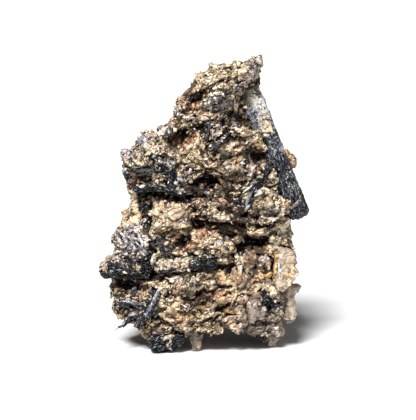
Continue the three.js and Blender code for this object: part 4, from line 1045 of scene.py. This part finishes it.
def strewn(name, shape, where, colours, material, seed, jitter=0.22, shear=0.0):
    """One mesh of many small solids, each with its own colour. where holds their places, their half sizes and
    their turns, random if there are none. Corners wander by the jitter, and the shear slants the solids as
    cleavage does."""
    places, sizes, turns = where
    random = np.random.default_rng(seed)
    corners, faces = np.array(shape[0], float), np.array(shape[1])
    count, each = len(places), len(corners)
    local = corners[None] * (1 + jitter * random.normal(size=(count, each, 1)))
    slant = np.eye(3) + shear * random.normal(size=(count, 3, 3))
    local = np.einsum("nij,nvj->nvi", slant, local) * sizes[:, None, :]
    turns = random_turns(count, random) if turns is None else turns
    turned = np.einsum("nij,nvj->nvi", turns, local)
    points = near_box((turned + places[:, None, :]).reshape(-1, 3), 0.4)
    points[:, 2] = np.maximum(points[:, 2], 0.02)
    loops = (faces[None] + (np.arange(count) * each)[:, None, None]).reshape(-1, faces.shape[1])
    mesh = bare_mesh(name, points, loops)
    paint(mesh, "tone", np.repeat(colours, each, axis=0))
    mesh.materials.append(material)
    return placed(name, mesh)


def surface_places(stone, count, seed):
    """Places over the stone, thicker on the front, with the normals and the nearest points' numbers."""
    random = np.random.default_rng(seed)
    mesh = stone.data
    areas = read(mesh.polygons, "area")
    centres = read(mesh.polygons, "center", 3) / MM
    normals = read(mesh.polygons, "normal", 3)
    first_corners = read(mesh.polygons, "loop_start", kind=np.int32)
    nearest = read(mesh.loops, "vertex_index", kind=np.int32)[first_corners]
    chance = areas * (0.35 + 0.65 * ease((FRONT_END + 4 - centres[:, 1]) / 8))
    picked = random.choice(len(areas), count, p=chance / chance.sum())
    spread = random.uniform(-0.25, 0.25, (count, 3))
    return centres[picked] + spread, normals[picked], nearest[picked], random


def chip_sizes(random, count, low, high, flatness):
    """Half sizes of chips, far more of them small than large, each flattened along its own third axis."""
    size = low * (high / low) ** (random.uniform(size=(count, 1)) ** 1.6)
    wide, thick = random.uniform(0.7, 1.3, (count, 2)), random.uniform(flatness, 1, (count, 1))
    return size * np.concatenate([wide, thick], axis=1)


def dimmed(colours, low, high, random):
    """Colours each made darker or lighter by its own share from low to high."""
    return colours * random.uniform(low, high, (len(colours), 1))


def blackened(colours, chance, brightest, random):
    """Colours some of which, by their chance, turn black."""
    black = random.uniform(size=len(colours)) < chance
    colours[black] = np.array(BLACK) * random.uniform(0.4, brightest, (black.sum(), 1))
    return colours


def fragments(stone):
    """Broken cleaved bits of feldspar, quartz and schorl set in the surface, each a slanting block."""
    made = stone_material("fragment_stained")
    for index, (count, low, high) in enumerate(FRAGMENTS):
        places, normals, nearest, random = surface_places(stone.piece, count, 140 + index)
        keep = (stone.hollow[nearest] < random.uniform(0, 0.7, count)) & (stone.clear[nearest] > 0.5 + high)
        keep &= random.uniform(size=count) > index * 0.8 * stone.broad[nearest]
        places, normals, nearest = places[keep], normals[keep], nearest[keep]
        colour = stone.tone[nearest]
        pick = random.uniform(size=(len(places), 1))
        for share, tint in ((0.3, LILAC), (0.24, GREY), (0.14, CREAM), (0.07, BROWN)):
            colour = np.where(pick < share, 0.35 * colour + 0.65 * np.array(tint), colour)
        colour = dimmed(colour, 0.6, 1.1, random)
        colour = blackened(colour, 0.03 + 0.45 * stone.dark[nearest], 1.6, random)
        sizes = chip_sizes(random, len(places), low, high, 0.8) * np.array([1, 0.75, 0.5])
        sizes *= 1 - 0.35 * np.abs(normals[:, :1])
        turns = turns_near(normals, 0.3, random)
        places = places - normals * (0.6 * sizes[:, 2:])
        name, shape = f"fragments_{index + 1}", BOX if index else SHARD
        strewn(name, shape, (places, sizes, turns), colour, made, 240 + index, 0.1, 0.3)


def blocks(pieces):
    """The front's own blocks, plates and laths, each set in the pieces' surface at its place. Slim ones stand
    out farther than stout ones do."""
    random = np.random.default_rng(180)
    points = np.concatenate([mesh_arrays(piece.data)[0] for piece in pieces])
    points = points[points[:, 1] < FRONT_END]
    places, sizes, turns, colours = [], [], [], []
    for tint, group in BLOCKS:
        for x, z, length, width, thickness, angle in group:
            off = np.hypot(points[:, 0] - x, points[:, 2] - z)
            near = points[off < max(0.6, off.min() + 0.2), 1]
            sunk = 0.65 if width > 0.4 * length else 0.1
            places.append((x, np.quantile(near, 0.15) + sunk * thickness, z))
            sizes.append((length, width, thickness))
            turn, lean = math.radians(angle), random.normal(0, 0.12, 3)
            along = np.array((math.cos(turn), 0, math.sin(turn))) + lean
            along /= np.linalg.norm(along)
            across = np.cross(along, (0, -1, 0) + random.normal(0, 0.2, 3))
            across /= np.linalg.norm(across)
            turns.append(np.stack([along, across, np.cross(along, across)], axis=1))
            colours.append(np.array(tint) * random.uniform(0.75, 1.1))
    *where, colours = (np.array(each) for each in (places, sizes, turns, colours))
    made = stone_material("block_stained")
    mesh = strewn("broken_blocks", SHARD, where, colours, made, 250, 0.14, 0.25).data
    paint(mesh, "pepper", np.tile(BLOCK_PEPPER, (len(mesh.vertices), 1)))


def crust_grains(stone, index, material):
    """Stained chips and black crumbs, fewer where the stone breaks broadly."""
    count, low, high = GRAINS
    places, normals, nearest, random = surface_places(stone.piece, count, 100 + index)
    keep = (random.uniform(size=count) > 0.95 * stone.broad[nearest]) & (stone.clear[nearest] > 0.6)
    places, normals, nearest = places[keep], normals[keep], nearest[keep]
    colour = dimmed(stone.tone[nearest], 0.55, 1.35, random)
    colour = blackened(colour, 0.04 + 0.6 * stone.dark[nearest], 1.8, random)
    sizes = chip_sizes(random, len(places), low, high, 0.5)
    places = places + normals * random.uniform(-0.16, 0.02, (len(places), 1))
    where = places, sizes, None
    strewn(f"crust_grains_{index + 1}", BOX, where, colour, material, 200 + index, 0.1, 0.3)


def mica_flakes(stone, material):
    """Bright thin flakes, none on what faces the sides, where they would stand out as spikes."""
    count, low, high = FLAKES
    places, normals, nearest, random = surface_places(stone.piece, count, 120)
    keep = (stone.clear[nearest] > 0.8) & (np.abs(normals[:, 0]) < 0.8)
    places, normals = places[keep], normals[keep]
    pick = random.uniform(size=(len(places), 1))
    colour = np.where(pick < 0.5, LILAC, np.where(pick < 0.75, GREY, CREAM))
    colour = dimmed(colour, 0.6, 1.3, random)
    sizes = chip_sizes(random, len(places), low, high, 1) * np.array([1, 0.7, 0.14])
    strewn("mica_flakes", BOX, (places + normals * 0.08, sizes, None), colour, material, 220)


def schorl_needles(stone, material):
    """Thin black needles on what faces the front or the back, more of them where the stone is dark."""
    count, shortest, longest = NEEDLES
    places, normals, nearest, random = surface_places(stone.piece, count, 130)
    chance = (0.04 + 0.6 * stone.dark[nearest]) * ease(2.5 * np.abs(normals[:, 1]) - 1)
    keep = random.uniform(size=count) < chance
    places, normals = places[keep], normals[keep]
    limits = ((shortest, longest), NEEDLE_WIDTHS, NEEDLE_WIDTHS)
    sizes = np.stack([random.uniform(*pair, len(places)) for pair in limits], axis=1)
    colour = np.array(BLACK) * random.uniform(0.4, 1.8, (len(places), 1))
    where = places, sizes, turns_near(normals, 0.25, random)
    strewn("schorl_needles", BOX, where, colour, material, 230, 0.1)


# ---- Crystals ----

# The axes of crystals that lie across one another: the places in X, Y and Z where each begins and ends.
CROSSING = {
    "schorl_spray_shoulder": [
        ((-20.5, -12.8, 56.8), (-9.5, -15.6, 55.4)),
        ((-16.1, -14.8, 59), (-9.9, -16, 56.4)),
        ((-9.9, -15.7, 58.2), (-9.3, -15, 48.8)),
        ((-20.7, -13.4, 49.4), (-11.7, -15.6, 50.2)),
        ((-13.3, -15.2, 50.2), (-5.3, -15.6, 48.1)),
    ],
    "schorl_blade_low": [
        ((-14.3, -14.4, 18.8), (-17.5, -14.8, 11.6)),
        ((-16.9, -13.8, 14.8), (-19.9, -13.2, 8.6)),
    ],
}


def long_axes(points):
    """A crystal's own axes, the longest first."""
    return np.linalg.svd(points - points.mean(axis=0), full_matrices=False)[2]


def own_places(node, points):
    """Points as seen along their own crystal: lengthwise first, then across. Where crystals cross, each point
    goes by the nearest axis."""
    if node not in CROSSING:
        own = points @ long_axes(points).T
        return own - own.mean(axis=0)
    own = np.zeros_like(points)
    nearest = np.full(len(points), 99.0)
    for index, (start, end) in enumerate(np.array(CROSSING[node])):
        along = (end - start) / np.linalg.norm(end - start)
        side = np.cross(along, (0, -1, 0))
        side /= np.linalg.norm(side)
        seen = (points - start) @ np.stack([along, side, np.cross(along, side)]).T
        past = np.clip(seen[:, 0], 0, np.linalg.norm(end - start))
        far = np.linalg.norm(seen - np.stack([past, 0 * past, 0 * past], axis=1), axis=1)
        own = np.where((far < nearest)[:, None], seen + (40 * index, 0, 0), own)
        nearest = np.minimum(nearest, far)
    return own


# The largest prism's pale coat: place in X and Z, half width, half height, colour. The first patch, dark, is
# painted shade under the head. Then where the coat is broken, with how much of it is gone.
PRISM_COAT = [
    (13.4, 76.8, 2, 2.6, rgb(92, 90, 78)),
    (17.4, 75, 2.6, 2.6, rgb(206, 202, 198)),
    (14.8, 70.6, 2.4, 2.4, rgb(128, 132, 144)),
    (18, 69, 2.6, 3, rgb(206, 186, 156)),
    (15.4, 67, 1.6, 1.6, rgb(150, 150, 154)),
]
PRISM_BARE = [
    (14.6, 71.2, 1.2, 1.4, 0.8), (16.6, 72.2, 0.8, 0.5, 0.6), (14.9, 68, 0.7, 1.6, 0.8),
    (16.2, 66.8, 1, 0.5, 0.6),
]


def patch(points, x, z, half_width, half_height):
    """1 at the middle of a patch of the front and 0 beyond it."""
    return ease(1.7 - np.hypot((points[:, 0] - x) / half_width, (points[:, 2] - z) / half_height))


def prism_coat(points, normals):
    """The largest prism's pale coat: how thick it lies, and its colour."""
    up = points[:, 2] - 0.15 * (points[:, 0] - 17) + 0.8 * noise(points, 2, 58)
    edge = 22.5 - 0.46 * (points[:, 2] - 65) - 1.6 * ease((75 - points[:, 2]) / 9)
    coated = ease((up - 65) / 1.2) * ease((edge - points[:, 0]) / 0.4)
    coated *= 1 - 0.5 * ease(2.6 * noise(points, (1.2, 1.2, 1.6), 59) - 1.3)
    for *place, amount in PRISM_BARE:
        coated *= 1 - amount * patch(points, *place)
    total = np.full(len(points), 0.01)
    colour = np.outer(total, SAND)
    for *place, tint in PRISM_COAT:
        near = patch(points, *place)
        total += near
        colour += np.outer(near, tint)
    return coated * ease((0.96 - normals[:, 0]) / 0.12), colour / total[:, None]


def ridges(node, points, own):
    """How far a schorl crystal's lengthwise facets and ridges stand out, with cracks across."""
    lines = noise(own, (9, 0.5, 0.5), 51) + 0.6 * noise(own, (5, 0.3, 0.3), 52)
    edge, level, face = chunks(own, (8, 1.5, 1.5), 53)
    out = 0.07 * lines + 0.16 * (level - 0.4) + 0.3 * face - 0.16 * (1 - ease(edge / 0.14))
    bent = own + 0.4 * noise(points, 1.2, 50)[:, None]
    edge, level, face = chunks(bent, (2.6, 2.2, 2.2), 54)
    out += 0.12 * level + 0.25 * face - 0.2 * (1 - ease(edge / 0.1))
    return 0.6 * out if node == LARGEST else out


def crystal_coat(node, points, normals):
    """How thickly the stone's dust and crust lie on a schorl crystal, and their colour. They lie thickest on
    what faces up, on the top of the largest prism and on the left half of the middle rod."""
    dust = 0.24 + 0.26 * normals[:, 2] + 0.42 * noise(points, 3.6, 55) + 0.25 * noise(points, 1.3, 56)
    dust += DUST_SHIFTS.get(node, 0)
    share = 0.5 + 0.5 * noise(points, 3, 57)
    tone = 0.75 * (np.outer(1 - share, SAND) + np.outer(share, FROST))
    if node == LARGEST:
        coated, coat = prism_coat(points, normals)
        upper = ease((points[:, 2] - PRISM_DUSTY_FROM) / 5)
        dust = 0.7 * dust + 0.14 + 0.22 * upper + 1.3 * coated
        tone = np.outer(share, FROST) + np.outer(1 - share, LICHEN)
        tone += 0.7 * upper[:, None] * (np.array(BLUISH) - tone)
        tone += coated[:, None] * (coat - tone)
    elif node == "schorl_rod_middle":
        tone = 0.9 * (0.6 * tone + 0.4 * np.array(CREAM))
        left = ease((ROD_COATED_TO - points[:, 0] + 2 * noise(points, 2, 62)) / 1.5)
        dust += 0.9 * left * ease((normals[:, 2] + 0.9) / 0.5)
    elif node == "schorl_rod_left":
        dust += (0.1 + 0.6 * noise(points, 2, 61)) * ease((normals[:, 2] + 0.1) / 0.5)
    return np.clip(dust, 0, 1.4), tone


def ridged_crystal(node, material):
    """A schorl crystal with its ridges and its crust, and the crust's colour and thickness."""
    piece = fine_copy(node, node + "_ridged", CRYSTAL_MESH)
    points, normals = mesh_arrays(piece.data)
    own = own_places(node, points)
    paint(piece.data, "own", 0.5 + own * 10 * MM)
    dust, tone = crystal_coat(node, points, normals)
    crust = ease((dust - 0.55) / 0.25) * (0.14 + 0.16 * noise(points, 0.8, 63))
    out = ridges(node, points, own) + crust
    lowered(piece.data, points + normals * out[:, None])
    paint(piece.data, "dust", dust)
    paint(piece.data, "tone", tone)
    piece.data.materials.append(material)
    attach(piece, "root")
    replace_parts(piece, node)
    return piece, tone, dust


def crystal_crust(crystals):
    """Crumbs of the stone and bits of schorl that cling to the crystals where their dust lies thickest. On
    prisms they cling to what faces the front only."""
    random = np.random.default_rng(170)
    places, turns, colours, reach = [], [], [], []
    for piece, tone, dust in crystals:
        points, normals = mesh_arrays(piece.data)
        prism = "prism" in piece.name
        chance = np.clip(dust - 0.3, 0.02, 0.6) ** 1.5
        if prism:
            chance *= normals[:, 1] < -0.5
        count = int(len(points) * (CRUMBS_ON_PRISMS if prism else CRUMBS))
        picked = random.choice(len(points), count, p=chance / chance.sum())
        places.append(points[picked])
        turns.append(turns_near(normals[picked], 0.4, random))
        colours.append(dimmed(tone[picked], 0.45, 1.2, random))
        reach.append(dust[picked])
    places, turns, colours, reach = (np.concatenate(each) for each in (places, turns, colours, reach))
    colours = blackened(colours, 0.55 - 0.4 * np.clip(reach, 0, 1), 1.6, random)
    where = places, chip_sizes(random, len(places), 0.12, 0.42, 0.5), turns
    crumb = grain_material("crumb", 0.75, 0.4)
    strewn("crystal_crust", BOX, where, colours, crumb, 260, 0.1, 0.3)


def worn_block(node, material, reach):
    """A quartz or feldspar piece with chipped, uneven faces."""
    piece = fine_copy(node, node + "_worn", CRYSTAL_MESH)
    points, normals = mesh_arrays(piece.data)
    _, level, face = chunks(points, (2.6, 2.6, 2), 61)
    out = 0.5 * reach * level + reach * face + 0.3 * reach * noise(points, 1.4, 62)
    lowered(piece.data, points + normals * out[:, None])
    piece.data.materials.append(material)
    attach(piece, "root")
    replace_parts(piece, node)
    return piece


# ---- The scene ----


def soft_sun(name, azimuth, elevation, strength, softness):
    """Even soft light from a direction: azimuth 0 is the front and 90 the right."""
    light = bpy.data.lights.new(name, "SUN")
    light.energy = strength
    light.angle = math.radians(softness)
    lamp = bpy.data.objects.new(name, light)
    bpy.context.scene.collection.objects.link(lamp)
    turn, tilt = math.radians(azimuth), math.radians(elevation)
    flat = math.cos(tilt)
    towards = Vector((math.sin(turn) * flat, -math.cos(turn) * flat, math.sin(tilt)))
    lamp.rotation_euler = towards.to_track_quat("Z", "Y").to_euler()


def studio():
    """A pale floor, a surround that looks white and lights weakly, a soft key from above and in front, and a
    softer, weaker fill from lower down at the right."""
    bpy.ops.mesh.primitive_plane_add(size=FLOOR_WIDTH, location=(0, 0, 0))
    floor = bpy.context.object
    floor.name = "floor"
    floor.data.materials.append(floor_material("floor_pale", FLOOR))
    world = bpy.data.worlds.new("surround")
    bpy.context.scene.world = world
    world.use_nodes = True
    tree = world.node_tree
    back = tree.nodes["Background"]
    back.inputs["Color"].default_value = (1, 1, 1, 1)
    seen = tree.nodes.new("ShaderNodeLightPath")
    strength = tree.nodes.new("ShaderNodeMapRange")
    strength.inputs["To Min"].default_value = SURROUND_LIGHT
    strength.inputs["To Max"].default_value = 1
    tree.links.new(seen.outputs["Is Camera Ray"], strength.inputs["Value"])
    tree.links.new(strength.outputs["Result"], back.inputs["Strength"])
    soft_sun("key", *KEY_SUN)
    soft_sun("fill", *FILL_SUN)
    bpy.context.scene.view_settings.view_transform = "Standard"


def camera():
    """A long lens from the photograph's viewing angle, aimed at the specimen's middle."""
    lens = bpy.data.cameras.new("camera")
    lens.lens = CAMERA_LENS
    lens.clip_start, lens.clip_end = 0.01, 10
    eye = bpy.data.objects.new("camera", lens)
    bpy.context.scene.collection.objects.link(eye)
    angle = math.radians(CAMERA_HEIGHT_ANGLE)
    back = Vector((0, -math.cos(angle), math.sin(angle)))
    eye.location = (Vector(CAMERA_AIM) + back * CAMERA_DISTANCE) * MM
    eye.rotation_mode = "QUATERNION"
    eye.rotation_quaternion = (-back).to_track_quat("-Z", "Y")
    bpy.context.scene.camera = eye


camera()
studio()
stone = rough_stone()
fragments(stone)
matt, bright = grain_material("grain_matt", 0.8, 0.35), grain_material("grain_bright", 0.35, 0.6)
for index in range(2):
    crust_grains(stone, index, matt)
mica_flakes(stone, bright)
schorl_needles(stone, bright)

schorl = schorl_material("schorl_black", SCHORL, 0.78, 0.15)
coated_schorl = schorl_material("schorl_coated", COATED_SCHORL, 0.3, 0.2)
quartz = quartz_material("quartz_smoky", QUARTZ)
darker_and_shaded_quartz = quartz_material("quartz_darker_and_shaded", DARKER_AND_SHADED_QUARTZ)
feldspar = feldspar_material("feldspar_beige", FELDSPAR)
crystals, worn = [], []
for node in sorted(nodes):
    if node.startswith("schorl"):
        coated = "prism" in node or "blade" in node
        crystals.append(ridged_crystal(node, coated_schorl if coated else schorl))
    elif node.startswith("quartz"):
        # The block and the point take the darker quartz: painted shade on the block, which faces up, and the
        # point's own darker colour.
        shaded = "block" in node or "point" in node
        worn.append(worn_block(node, darker_and_shaded_quartz if shaded else quartz, 0.5))
    elif node.startswith("feldspar"):
        worn.append(worn_block(node, feldspar, 0.3))
crystal_crust(crystals)
blocks([stone.piece] + worn + [piece for piece, _, _ in crystals])

in_front = read(stone.piece.data.polygons, "center", 3)[:, 1] / MM < STONE_SPLIT
for name, wanted in (("stone_front", in_front), ("stone_back", ~in_front)):
    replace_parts(faces_as(name, stone.piece, wanted), "matrix")
bpy.data.objects.remove(stone.piece)
